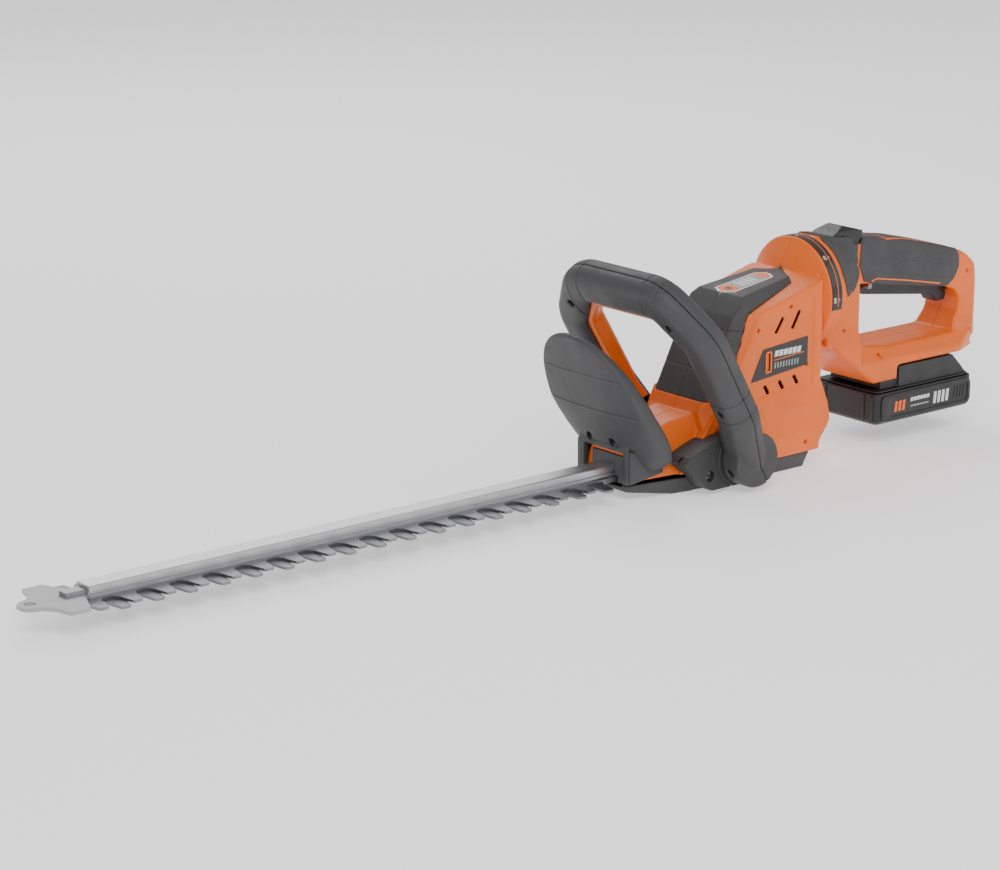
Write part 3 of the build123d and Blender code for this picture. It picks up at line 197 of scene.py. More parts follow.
def moulded(name, colour, roughness, grain=2600.0, depth=0.00006, edge=1.25):
    """Injection-moulded plastic: fine grain, slow drift of tone, rubbed edges."""
    shade = Shade(name)
    drift = shade.ramp(shade.noise(22.0, 3.0), 0.35, 0.65, 0.0, 1.0)
    base = shade.mix(drift, tinted(colour, 0.93), tinted(colour, 1.05))
    speck = shade.ramp(shade.noise(grain * 0.6, 1.0), 0.42, 0.62, 0.0, 0.16)
    base = shade.mix(speck, base, tinted(colour, 0.82))
    point = shade.add("ShaderNodeNewGeometry").outputs["Pointiness"]
    rubbed = shade.ramp(point, 0.53, 0.62, 0.0, 0.55)
    base = shade.mix(rubbed, base, tinted(colour, edge))
    smear = shade.ramp(shade.noise(60.0, 4.0), 0.3, 0.7, roughness - 0.05, roughness + 0.06)
    normal = shade.bump(shade.noise(grain, 2.0), 0.5, depth)
    return shade.finish(base, smear, normal)


def soft_rubber(name, colour):
    """Overmoulded rubber: deeper grain and a dull sheen."""
    shade = Shade(name)
    drift = shade.ramp(shade.noise(30.0, 3.0), 0.35, 0.65, 0.0, 1.0)
    base = shade.mix(drift, tinted(colour, 0.9), tinted(colour, 1.1))
    dust = shade.ramp(shade.noise(900.0, 2.0), 0.5, 0.75, 0.0, 0.3)
    base = shade.mix(dust, base, tinted(colour, 1.5))
    smear = shade.ramp(shade.noise(80.0, 4.0), 0.3, 0.7, 0.62, 0.78)
    normal = shade.bump(shade.noise(1800.0, 3.0), 0.6, 0.00008)
    return shade.finish(base, smear, normal)


def dotted_rubber(name, colour):
    """Rubber with rows of small raised dots."""
    shade = Shade(name)
    cells = shade.add("ShaderNodeTexVoronoi", distance="EUCLIDEAN")
    cells.inputs["Scale"].default_value = 620.0
    cells.inputs["Randomness"].default_value = 0.0
    shade.link(shade.where, cells.inputs["Vector"])
    dots = shade.ramp(cells.outputs["Distance"], 0.18, 0.42, 1.0, 0.0)
    drift = shade.ramp(shade.noise(30.0, 3.0), 0.35, 0.65, 0.0, 1.0)
    base = shade.mix(drift, tinted(colour, 0.75), tinted(colour, 0.9))
    base = shade.mix(dots, base, tinted(colour, 1.25))
    smear = shade.ramp(shade.noise(80.0, 4.0), 0.3, 0.7, 0.58, 0.74)
    normal = shade.bump(dots, 0.9, 0.0004)
    return shade.finish(base, smear, normal)


def metal(name, colour, roughness, brushed=(1.0, 1.0, 1.0), scale=400.0, depth=0.00002, spots=0.0):
    """Bare metal with a grain that runs across the squeezed axes, scratches and faint stains."""
    shade = Shade(name)
    shade.shader.inputs["Metallic"].default_value = 1.0
    grain = shade.noise(scale, 4.0, brushed)
    base = shade.mix(shade.ramp(grain, 0.3, 0.7, 0.0, 1.0), tinted(colour, 0.86), tinted(colour, 1.1))
    stain = shade.ramp(shade.noise(38.0, 5.0), 0.55, 0.75, 0.0, 0.35 + spots)
    base = shade.mix(stain, base, tinted(colour, 0.72))
    point = shade.add("ShaderNodeNewGeometry").outputs["Pointiness"]
    base = shade.mix(shade.ramp(point, 0.52, 0.6, 0.0, 0.6), base, tinted(colour, 1.35))
    smear = shade.ramp(grain, 0.3, 0.7, roughness - 0.07, roughness + 0.08)
    normal = shade.bump(grain, 0.45, depth)
    return shade.finish(base, smear, normal)


orange = moulded("orange_plastic", ORANGE, 0.42, edge=1.2)
grey = moulded("grey_plastic", GREY, 0.58, edge=1.7)
dark = moulded("dark_plastic", DARK, 0.6, edge=1.6)
black = moulded("black_plastic", BLACK, 0.42, edge=2.2)
glossy_black = moulded("label_black", BLACK, 0.28, grain=1200.0, depth=0.00001, edge=1.5)
rubber = soft_rubber("grip_rubber", GREY)
aluminium = metal("rail_aluminium", (0.56, 0.56, 0.57), 0.38, (0.06, 1.0, 1.0), 900.0)
blade_steel = metal("blade_steel", (0.2, 0.2, 0.21), 0.42, (1.0, 0.12, 1.0), 700.0, spots=0.15)
cast_metal = metal("cast_tip", (0.36, 0.36, 0.37), 0.55, (1.0, 1.0, 1.0), 1100.0, 0.00012)
machined = metal("machined_steel", (0.42, 0.42, 0.43), 0.3, (1.0, 1.0, 0.1), 900.0)
zinc = metal("zinc_screw", (0.2, 0.2, 0.21), 0.36, (1.0, 1.0, 1.0), 800.0)
wrap = moulded("cell_wrap", (0.02, 0.16, 0.07), 0.3, depth=0.00001)
board = moulded("board_green", (0.01, 0.08, 0.03), 0.35, depth=0.00002)

white_print = moulded("white_print", (0.75, 0.75, 0.75), 0.35, depth=0.00001, edge=1.0)
grey_print = moulded("grey_print", (0.33, 0.33, 0.34), 0.35, depth=0.00001, edge=1.0)
dotted = dotted_rubber("dotted_rubber", GREY)

SLOT_LOOKS = {
    "orange_plastic": orange, "grey_plastic": grey, "black_plastic": black, "grip_rubber": rubber,
    "rail_aluminium": aluminium, "blade_steel": blade_steel, "cast_tip": cast_metal,
    "screw_steel": zinc, "gear_steel": machined, "motor_steel": machined, "cell_wrap": wrap,
    "board_green": board, "label_black": glossy_black,
}
NODE_SLOT = {row["node"]: row["material_slot"] for row in frame["record"]["subparts"]}
NODE_BODY = {node: body for body, nodes in frame["record"]["behaviour"]["bodies"].items() for node in nodes}


def dress_nodes():
    """Every CAD node gets the finish of its material slot."""
    for node, item in frame["nodes"].items():
        look = SLOT_LOOKS[NODE_SLOT[node]]
        for slot in item.material_slots:
            slot.material = look


# ------------------------------------------------------------------ mesh helpers

PLANES = {
    "XY": lambda u, v, w: (u, v, w),
    "XZ": lambda u, v, w: (u, w, v),
    "YZ": lambda u, v, w: (w, u, v),
}


def new_piece(name, verts, faces):
    """A mesh object from corners in millimetres, with its faces turned outwards."""
    mesh = bpy.data.meshes.new(name)
    mesh.from_pydata([Vector(corner) * MM for corner in verts], [], faces)
    form = bmesh.new()
    form.from_mesh(mesh)
    bmesh.ops.recalc_face_normals(form, faces=form.faces)
    form.to_mesh(mesh)
    form.free()
    return linked(name, mesh)


def prism(name, outline, plane, low, high):
    """A straight solid from an outline on a plane."""
    put = PLANES[plane]
    count = len(outline)
    verts = [put(u, v, low) for u, v in outline] + [put(u, v, high) for u, v in outline]
    faces = [tuple(range(count)), tuple(range(2 * count - 1, count - 1, -1))]
    faces += [(i, (i + 1) % count, count + (i + 1) % count, count + i) for i in range(count)]
    return new_piece(name, verts, faces)


def baked(piece, kind, **settings):
    """Applies one modifier to a piece."""
    modifier = piece.modifiers.new(kind.lower(), kind)
    for key, value in settings.items():
        setattr(modifier, key, value)
    graph = bpy.context.evaluated_depsgraph_get()
    mesh = bpy.data.meshes.new_from_object(piece.evaluated_get(graph))
    mesh.name = piece.name
    piece.modifiers.clear()
    piece.data = mesh
    return piece


def shaded(piece, sharp=None):
    """Smooth shading, with edges sharper than an angle kept crisp."""
    piece.data.polygons.foreach_set("use_smooth", [True] * len(piece.data.polygons))
    if sharp is not None:
        piece.data.set_sharp_from_angle(angle=radians(sharp))
    return piece


def rounded(piece, width, segments=3):
    """Bevels every sharp edge of a piece."""
    baked(piece, "BEVEL", width=width * MM, segments=segments, limit_method="ANGLE",
          angle_limit=radians(25), harden_normals=False)
    return shaded(piece, 40)


def settle(piece, body, slot, look=None):
    """Puts a finished piece on its body with a finish."""
    piece.data.materials.clear()
    piece.data.materials.append(look or SLOT_LOOKS[slot])
    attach(piece, body)
    return piece


def cut_by(piece, cutter, operation="DIFFERENCE"):
    """A boolean between two closed pieces; the cutter is used up."""
    baked(piece, "BOOLEAN", operation=operation, object=cutter, solver="MANIFOLD")
    bpy.data.objects.remove(cutter)
    return piece


def joined(nodes, name, close=0.0, mirrored=False):
    """One object from several nodes; shell halves are closed up over their middle seam.
    A mirrored form is turned left to right, so it no longer agrees with the CAD."""
    form = bmesh.new()
    for node in nodes:
        start = len(form.verts)
        form.from_mesh(frame["nodes"][node].data)
        form.verts.ensure_lookup_table()
        side = 1 if node.endswith("_left") else -1
        for index in range(start, len(form.verts)):
            form.verts[index].co.y += side * close * MM
    if mirrored:
        bmesh.ops.scale(form, vec=(1, -1, 1), verts=form.verts)
        bmesh.ops.reverse_faces(form, faces=form.faces)
    mesh = bpy.data.meshes.new(name)
    form.to_mesh(mesh)
    form.free()
    return linked(name, mesh)


def softened(name, nodes, voxel, passes, close=0.0, mirrored=False):
    """A moulded form: CAD solids with every edge rounded as a mould leaves it."""
    piece = joined(nodes, name, close, mirrored)
    baked(piece, "REMESH", mode="VOXEL", voxel_size=voxel * MM)
    baked(piece, "SMOOTH", factor=0.5, iterations=passes)
    shaded(piece)
    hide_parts(*nodes)
    return piece


def engrave(piece, distance, width, depth, rounds=2):
    """Sinks a rounded line into a piece, or raises one; distance(point) is in millimetres."""
    form = bmesh.new()
    form.from_mesh(piece.data)
    for _ in range(rounds):
        near = {vert for vert in form.verts if distance(vert.co / MM) < width}
        edges = [edge for edge in form.edges if edge.verts[0] in near and edge.verts[1] in near]
        bmesh.ops.subdivide_edges(form, edges=edges, cuts=1, use_grid_fill=True)
    form.normal_update()
    moves = []
    for vert in form.verts:
        away = distance(vert.co / MM)
        if away < width / 2:
            moves.append((vert, vert.normal * (-depth * MM * 0.5 * (1 + cos(2 * pi * away / width)))))
    for vert, move in moves:
        vert.co += move
    form.to_mesh(piece.data)
    form.free()
    return shaded(piece)


def to_line(u, v, points):
    """Distance from a point to a polyline on a plane."""
    best = 1e9
    for (au, av), (bu, bv) in zip(points, points[1:]):
        run = (bu - au, bv - av)
        share = ((u - au) * run[0] + (v - av) * run[1]) / (run[0] ** 2 + run[1] ** 2)
        share = min(max(share, 0.0), 1.0)
        best = min(best, ((u - au - share * run[0]) ** 2 + (v - av - share * run[1]) ** 2) ** 0.5)
    return best


def band(points, width):
    """The outline of a line of some width, as one polygon."""
    left, right = [], []
    for index, (u, v) in enumerate(points):
        before = points[max(index - 1, 0)]
        after = points[min(index + 1, len(points) - 1)]
        run = Vector((after[0] - before[0], after[1] - before[1])).normalized()
        left.append((u - run.y * width / 2, v + run.x * width / 2))
        right.append((u + run.y * width / 2, v - run.x * width / 2))
    return left + right[::-1]


def lettering(text, height, centre):
    """The faces of a numeral, as polygons about a point."""
    curve = bpy.data.curves.new("numeral", "FONT")
    curve.body = text
    curve.size = height
    curve.align_x = "CENTER"
    curve.align_y = "CENTER"
    holder = bpy.data.objects.new("numeral", curve)
    mesh = bpy.data.meshes.new_from_object(holder)
    spots = [(vert.co.x + centre[0], vert.co.y + centre[1]) for vert in mesh.vertices]
    polygons = [[spots[index] for index in face.vertices] for face in mesh.polygons]
    bpy.data.objects.remove(holder)
    bpy.data.curves.remove(curve)
    bpy.data.meshes.remove(mesh)
    return polygons


def laid(name, polygons, place, body, slot, look, cell=2.0, thick=0.25, lift=0.05):
    """Thin trim or print: flat polygons cut into cells and laid on a surface by place(u, v)."""
    form = bmesh.new()
    for polygon in polygons:
        form.faces.new([form.verts.new((u, v, 0.0)) for u, v in polygon])
    bmesh.ops.remove_doubles(form, verts=form.verts, dist=0.001)
    for axis in (0, 1):
        low = min(vert.co[axis] for vert in form.verts)
        high = max(vert.co[axis] for vert in form.verts)
        for step in range(1, int((high - low) / cell) + 1):
            at = Vector((0.0, 0.0, 0.0))
            across = Vector((0.0, 0.0, 0.0))
            at[axis] = low + step * cell
            across[axis] = 1.0
            bmesh.ops.bisect_plane(form, geom=form.verts[:] + form.edges[:] + form.faces[:],
                                   plane_co=at, plane_no=across)
    bmesh.ops.triangulate(form, faces=[face for face in form.faces if len(face.verts) > 4])
    outward = Vector((0.0, 0.0, 0.0))
    for vert in form.verts:
        point, normal = place(vert.co.x, vert.co.y)
        vert.co = point + normal * (lift + thick) * MM
        outward += normal
    form.normal_update()
    outward.normalize()
    if sum(face.normal.dot(outward) for face in form.faces) < 0:
        bmesh.ops.reverse_faces(form, faces=form.faces)
    mesh = bpy.data.meshes.new(name)
    form.to_mesh(mesh)
    form.free()
    piece = linked(name, mesh)
    baked(piece, "SOLIDIFY", thickness=thick * MM, offset=-1.0)
    return settle(shaded(piece, 30), body, slot, look)


def tree_of(*pieces):
    """A search tree over the surfaces of pieces."""
    verts, faces = [], []
    for piece in pieces:
        start = len(verts)
        verts += [vert.co.copy() for vert in piece.data.vertices]
        faces += [tuple(start + index for index in face.vertices) for face in piece.data.polygons]
    return BVHTree.FromPolygons(verts, faces)


def onto_side(tree, side):
    """Places (X, Z) on the surface seen from one side."""
    def place(u, v):
        start = Vector((u * MM, side * 0.3, v * MM))
        hit = tree.ray_cast(start, Vector((0, -side, 0)))[0]
        return hit or tree.find_nearest(Vector((u, side * 60, v)) * MM)[0], Vector((0, side, 0))
    return place


def onto_top(tree):
    """Places (X, Y) on the surface seen from above."""
    def place(u, v):
        hit = tree.ray_cast(Vector((u * MM, v * MM, 0.4)), Vector((0, 0, -1)))[0]
        return hit or tree.find_nearest(Vector((u, v, 200)) * MM)[0], Vector((0, 0, 1))
    return place


# ------------------------------------------------------------------ shared outlines and places

SEAM_CLOSE = 0.12
PRINT_THICK = 0.15
HUB = Vector((-16.5, 0.0, 29.0))
SIDES = ((-1, "left"), (1, "right"))


def circle(u, v, radius, corners=24):
    """A round outline."""
    turns = [step * 2 * pi / corners for step in range(corners)]
    return [(u + radius * cos(turn), v + radius * sin(turn)) for turn in turns]


def row(first, pitch, count):
    """Copies of an outline, side by side."""
    return [[(u + step * pitch, v) for u, v in first] for step in range(count)]


def outlined(points, width):
    """A line through points, as one polygon for each straight run."""
    return [band([a, b], width) for a, b in zip(points, points[1:])]


def side_slab(name, outline, side, near, far):
    """A prism across the tool, between two distances from its middle, on one side."""
    low, high = sorted((side * near, side * far))
    return prism(name, outline, "XZ", low, high)


def copied(node, name):
    """A free copy of a CAD node's mesh, which stands in for the node."""
    piece = linked(name, frame["nodes"][node].data.copy())
    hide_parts(node)
    return piece


# ------------------------------------------------------------------ housing

FLANGE_X = 98
FLANGE_Z = 40
COVER_LINES_Z = (99.0, 133.0)
BRACKET_LINE_R = 27.5


def build_housing():
    """The orange shell, with its seam; it is turned left to right against the CAD."""
    shell = softened("housing_shell", ["housing_left", "housing_right"], voxel=1.0, passes=5,
                     close=SEAM_CLOSE, mirrored=True)
    engrave(shell, lambda p: abs(p.y) if p.x < FLANGE_X and p.z > FLANGE_Z else 99,
            width=1.4, depth=0.5, rounds=1)
    return settle(shell, "housing", "orange_plastic")


def build_top_cover():
    """The grey cap over the roof and front slope."""
    cover = softened("top_cover_shell", ["top_cover_left", "top_cover_right"], voxel=0.9, passes=5,
                     close=SEAM_CLOSE)
    engrave(cover, lambda p: abs(p.y), width=1.3, depth=0.5, rounds=1)
    for height in COVER_LINES_Z:
        engrave(cover, lambda p: abs(p.z - height) if p.x < 0 else 99, width=2.0, depth=0.6, rounds=1)
    return settle(cover, "housing", "grey_plastic", grey)


def from_hub(point):
    """Distance of a point from the bracket's hub, on the XZ plane."""
    return ((point.x - HUB.x) ** 2 + (point.z - HUB.z) ** 2) ** 0.5


def build_base_and_brackets():
    """The tray under the housing and the two brackets of the front handle."""
    base = softened("base_shell", ["base_cover"], voxel=1.0, passes=4)
    settle(base, "housing", NODE_SLOT["base_cover"])
    for _, hand in SIDES:
        bracket = softened("bracket_shell_" + hand, ["handle_bracket_" + hand], voxel=0.8, passes=5)
        engrave(bracket, lambda p: abs(from_hub(p) - BRACKET_LINE_R), width=1.8, depth=0.8, rounds=1)
        settle(bracket, "housing", NODE_SLOT["handle_bracket_" + hand], dark)


PLATE_FRAME = [(21.6, 94.0), (27.4, 94.6), (27.4, 112.0), (21.6, 111.4), (21.6, 94.0)]
PLATE_RULE = [(31.0, 103.7), (67.0, 106.2)]
PLATE_MARK = [(31.5, 106.6), (35.9, 106.9), (36.9, 112.2), (32.5, 111.9)]
PLATE_BAR = [(31.5, 96.4), (33.0, 96.5), (33.6, 101.6), (32.1, 101.5)]


def build_nameplate_print(side, hand):
    """Blocks and lines in place of the lettering on one side's nameplate."""
    on_plate = onto_side(tree_of(frame["nodes"]["nameplate_" + hand]), side)
    laid("plate_frame_" + hand, outlined(PLATE_FRAME, 1.5), on_plate, "housing", "orange_plastic", orange,
         cell=3.0, thick=0.5)
    laid("plate_marks_" + hand, row(PLATE_MARK, 5.4, 6), on_plate, "housing", "label_black", white_print,
         cell=4.0, thick=PRINT_THICK)
    laid("plate_rule_" + hand, [band(PLATE_RULE, 0.7)], on_plate, "housing", "orange_plastic", orange,
         cell=4.0, thick=PRINT_THICK)
    laid("plate_bars_" + hand, row(PLATE_BAR, 3.4, 9), on_plate, "housing", "label_black", grey_print,
         cell=4.0, thick=PRINT_THICK)


LABEL_EDGE = [(6.0, 0.0), (12.5, -12.5), (60.0, -11.5), (66.0, 0.0), (60.0, 11.5), (12.5, 12.5)]
LABEL_GROUND = [(8.2, 0.0), (13.8, -10.8), (59.0, -9.9), (64.0, 0.0), (59.0, 9.9), (13.8, 10.8)]
LABEL_FRONT = [(8.2, 0.0), (13.8, -10.8), (22.0, -10.6), (26.0, 0.0), (22.0, 10.6), (13.8, 10.8)]
LABEL_REAR = [(52.0, 0.0), (56.0, -10.0), (59.0, -9.9), (64.0, 0.0), (59.0, 9.9), (56.0, 10.0)]
LABEL_BAR = [(29.0, -7.0), (32.0, -7.0), (32.0, 7.0), (29.0, 7.0)]


def build_roof_label(on_roof):
    """The label on the roof, from its edge up to the print on it."""
    for part, outlines, slot, look, thick in (
            ("edge", [LABEL_EDGE], "label_black", white_print, PRINT_THICK),
            ("ground", [LABEL_GROUND], "label_black", grey_print, 0.22),
            ("front", [LABEL_FRONT], "orange_plastic", orange, 0.3),
            ("rear", [LABEL_REAR], "orange_plastic", orange, 0.3),
            ("bars", row(LABEL_BAR, 5.0, 4), "label_black", white_print, 0.3),
            ("dot", [circle(16.5, 0.0, 4.0, 12)], "label_black", glossy_black, 0.4)):
        laid("roof_label_" + part, outlines, on_roof, "housing", slot, look, cell=3.0, thick=thick)


# ------------------------------------------------------------------ swivel scale

STRIP_R = 50.3
STRIP_AXIS_Z = 148.0
SCALE_LINE_X = 102.2
NUMERAL_X = 98.7
DEGREES_PER_RADIAN = 57.3
SCALE_TURNS = (-90, -45, 0, 45, 90)


def round_collar(u, v):
    """Places (X, degrees from the top towards -Y) on the scale strip."""
    turn = radians(v)
    outward = Vector((0.0, -sin(turn), cos(turn)))
    return Vector((u, 0.0, STRIP_AXIS_Z)) * MM + outward * STRIP_R * MM, outward


def scale_marks(name, polygons, look, slot):
    """Print on the scale strip; it is cut fine enough to follow the curve."""
    laid(name, polygons, round_collar, "housing", slot, look, cell=2.5, thick=PRINT_THICK, lift=0.02)


def build_scale():
    """A line round the collar, with a pointer and a numeral at each stop."""
    scale_marks("scale_line", [band([(SCALE_LINE_X, -97.0), (SCALE_LINE_X, 97.0)], 0.7)], orange,
                "orange_plastic")
    pointers = [[(SCALE_LINE_X, turn - 2.4), (104.6, turn), (SCALE_LINE_X, turn + 2.4)]
                for turn in SCALE_TURNS]
    scale_marks("scale_pointers", pointers, orange, "orange_plastic")
    for turn in SCALE_TURNS:
        faces = lettering(str(abs(turn)), 5.2, (0.0, 0.0))
        turned = [[(NUMERAL_X - v, turn + u * DEGREES_PER_RADIAN / STRIP_R) for u, v in face]
                  for face in faces]
        scale_marks("scale_numeral_%d" % (turn + 90), turned, white_print, "label_black")


# ------------------------------------------------------------------ hand guard

GUARD_HALF = [(0.0, 149.0), (16.0, 146.8), (31.0, 140.0), (42.5, 129.5), (51.0, 116.0), (57.0, 100.0),
              (60.5, 83.0), (60.3, 68.0), (57.5, 54.0), (52.0, 41.0), (44.0, 31.0), (36.0, 28.5),
              (26.0, 42.0), (14.0, 46.5), (0.0, 46.5)]
GUARD_SIDE_POINTS = 11
GUARD_SWEEP = [(27.0, 19.0), (52.0, 13.0), (80.0, 6.5), (112.0, 3.5), (135.0, 2.0), (150.0, 1.0)]
GUARD_DEPTH = [(27.0, 18.0), (52.0, 18.0), (80.0, 15.5), (112.0, 12.5), (135.0, 9.0), (150.0, 7.0)]
GUARD_MIDDLE_Z = 88.0
GUARD_CORNER = 3.5
GUARD_SHELL = 2.6
GUARD_LINES = ((80.0, 55.0), (112.5, 47.0))
SCREW_Z = 52.0
SCREWS_Y = (-14.5, 14.5)
SKIRT = [(-125.0, 17.5), (-88.0, 22.5), (-88.0, 31.0), (-112.0, 46.0), (-125.0, 46.0)]
GUARD_FRAME = [(-31.0, 16.5), (-25.0, 16.5), (-25.0, 43.5), (25.0, 43.5), (25.0, 16.5), (31.0, 16.5),
               (31.0, 51.0), (-31.0, 51.0)]


def between(table, at):
    """Straight-line lookup in a table of (place, value)."""
    for (low, first), (high, second) in zip(table, table[1:]):
        if at <= high:
            share = min(max((at - low) / (high - low), 0.0), 1.0)
            return first + share * (second - first)
    return table[-1][1]


def smooth_loop(points, steps):
    """A closed Catmull-Rom curve through points."""
    count = len(points)
    curve = []
    for index in range(count):
        p0, p1, p2, p3 = (Vector(points[(index + shift) % count]) for shift in (-1, 0, 1, 2))
        for step in range(steps):
            t = step / steps
            curve.append(0.5 * ((2 * p1) + (p2 - p0) * t + (2 * p0 - 5 * p1 + 4 * p2 - p3) * t ** 2
                                + (3 * p1 - p0 - 3 * p2 + p3) * t ** 3))
    return curve


def guard_front(y, z):
    """X of the shield's front face."""
    widths = [(height, y_half) for y_half, height in GUARD_HALF[:GUARD_SIDE_POINTS]][::-1]
    share = min(abs(y) / max(between(widths, z), 6.0), 1.0)
    return -121.0 - 0.40 * (z - 31.0) + between(GUARD_SWEEP, z) * share ** 2.4


def on_guard(y, z):
    """Places (Y, Z) on the shield's front face."""
    return Vector((guard_front(y, z), y, z)) * MM, Vector((-0.93, 0.0, -0.37))


def guard_profile():
    """Rings of the shield, from its middle out and over the rim: how far out along the radius, how
    far in from the rim, how far back, and what share of the rim's depth."""
    profile = [(share, 0.0, 0.0, 0.0) for share in (0.12, 0.3, 0.48, 0.64, 0.78, 0.9)]
    for turn in (0, 30, 60, 90):
        inward = GUARD_CORNER * (1 - sin(radians(turn)))
        profile.append((1.0, inward, GUARD_CORNER * (1 - cos(radians(turn))), 0.0))
    return profile + [(1.0, 0.3, GUARD_CORNER, 0.5), (1.0, 0.8, GUARD_CORNER, 1.0)]


def build_shield():
    """The convex shield with its turned-back rim and its two screw holes."""
    rim = smooth_loop(GUARD_HALF + [(-y, z) for y, z in GUARD_HALF[-2:0:-1]], 5)
    centre = Vector((0.0, GUARD_MIDDLE_Z))
    profile = guard_profile()
    verts = [(guard_front(0.0, GUARD_MIDDLE_Z), 0.0, GUARD_MIDDLE_Z)]
    for share, inward, back, depth_share in profile:
        for spot in rim:
            at = centre + (spot - centre) * (share - inward / (spot - centre).length)
            behind = back + (between(GUARD_DEPTH, spot.y) - GUARD_CORNER) * depth_share
            verts.append((guard_front(at.x, at.y) + behind, at.x, at.y))
    count = len(rim)
    faces = [(0, 1 + i, 1 + (i + 1) % count) for i in range(count)]
    for level in range(len(profile) - 1):
        start = 1 + level * count
        faces += [(start + i, start + (i + 1) % count, start + count + (i + 1) % count, start + count + i)
                  for i in range(count)]
    shield = new_piece("guard_shield", verts, faces)
    outward = shield.data.polygons[0].normal.x
    baked(shield, "SOLIDIFY", thickness=GUARD_SHELL * MM, offset=-1.0 if outward < 0 else 1.0)
    baked(shield, "SUBSURF", levels=1)
    for y in SCREWS_Y:
        cut_by(shield, prism("hole", circle(y, SCREW_Z, 4.0), "YZ", -160.0, -123.0))
    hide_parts("guard")
    settle(shaded(shield, 50), "housing", "grey_plastic", grey)


def build_guard_details():
    """Raised lines on the shield, and the skirts, frame and screw sleeves behind it."""
    for index, (height, span) in enumerate(GUARD_LINES):
        line = [(-span + step * span / 20, height) for step in range(41)]
        laid("guard_line_%d" % index, [band(line, 1.3)], on_guard, "housing", "grey_plastic", grey,
             cell=3.0, thick=0.35, lift=0.0)
    for side, _ in SIDES:
        skirt = side_slab("guard_skirt_%d" % (side + 1), SKIRT, side, 27.0, 35.0)
        settle(rounded(skirt, 1.2), "housing", "grey_plastic", grey)
    settle(rounded(prism("guard_frame", GUARD_FRAME, "YZ", -126.0, -120.2), 0.8), "housing",
           "grey_plastic", grey)
    for index, y in enumerate(SCREWS_Y):
        sleeve = cut_by(prism("guard_sleeve_%d" % index, circle(y, SCREW_Z, 5.4), "YZ", -128.4, -119.0),
                        prism("bore", circle(y, SCREW_Z, 3.9), "YZ", -140.0, -100.0))
        settle(shaded(sleeve, 40), "housing", "grey_plastic", dark)


# ------------------------------------------------------------------ front handle

LEAN = radians(30.7)
LOOP_TOP = 140
LOOP_TOP_LINES_Y = (40.0, 55.0)
LEG_LINES = (57.0, 75.0)
LEG_Y = 60


def along_loop(point):
    """Height of a point along the loop's lean, in millimetres."""
    return (point.x - HUB.x) * -sin(LEAN) + (point.z - HUB.z) * cos(LEAN)


def build_front_handle():
    """The two halves of the loop, with lines round the top and the legs, and the two-hand bar."""
    for name in ("front_handle_front", "front_handle_rear"):
        half = softened(name + "_shell", [name], voxel=1.0, passes=4)
        for offset in LOOP_TOP_LINES_Y:
            engrave(half, lambda p: abs(abs(p.y) - offset) if along_loop(p) > LOOP_TOP else 99,
                    width=1.8, depth=0.7, rounds=1)
        for rise in LEG_LINES:
            engrave(half, lambda p: abs(along_loop(p) - rise) if abs(p.y) > LEG_Y else 99,
                    width=1.8, depth=0.7, rounds=1)
        settle(half, "housing", NODE_SLOT[name], grey)
    bar = softened("switch_bar_shell", ["switch_bar"], voxel=0.8, passes=5)
    settle(bar, "switch_bar", NODE_SLOT["switch_bar"])


# ------------------------------------------------------------------ rear handle

SKIN_RISE = 0.9
SEAM_FROM_X = 111
SEAM_FROM_Z = 75
GRIP = [(176.0, 212.0), (158.0, 166.0), (163.0, 151.0), (175.0, 147.0), (262.0, 131.0), (272.0, 131.5),
        (281.0, 138.0), (286.5, 148.0), (287.0, 158.0), (283.0, 170.0), (283.0, 212.0)]
SADDLE = [(114.5, 212.0), (114.5, 168.0), (119.0, 153.0), (126.0, 145.5), (134.0, 144.0), (142.0, 147.5),
          (154.0, 166.0), (171.0, 212.0)]
SIDE_PANEL = [(187.0, 170.0), (276.0, 151.5), (277.5, 139.5), (186.0, 156.5), (187.0, 170.0)]
GRIP_LOW_LINE = [(172.0, 150.0), (178.6, 151.7), (218.7, 144.5), (262.0, 135.5)]
GRIP_EDGE_HALF = [(192.0, 0.0), (192.0, -13.0), (197.0, -15.2), (276.0, -14.2), (277.5, -11.0),
                  (277.5, 0.0)]
TOP_PANEL = [(193.5, -12.5), (197.8, -14.0), (275.5, -13.0), (276.3, -10.5), (276.3, 10.5), (275.5, 13.0),
             (197.8, 14.0), (193.5, 12.5)]


def build_housing_screws():
    """The housing's screws, turned left to right with the shells, against the CAD."""
    screws = joined(["housing_screws"], "housing_screws_right", mirrored=True)
    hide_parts("housing_screws")
    settle(shaded(screws, 40), "housing", "screw_steel")


def skin(name, node, outline, under):
    """An overmould: the surface under it, raised and trimmed to an outline."""
    piece = linked(name, under.data.copy())
    count = len(piece.data.vertices)
    spots = np.zeros(3 * count)
    normals = np.zeros(3 * count)
    piece.data.vertices.foreach_get("co", spots)
    piece.data.vertices.foreach_get("normal", normals)
    piece.data.vertices.foreach_set("co", spots + normals * SKIN_RISE * MM)
    cut_by(piece, prism("zone", outline, "XZ", -60.0, 60.0), "INTERSECT")
    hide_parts(node)
    return shaded(piece, 50)


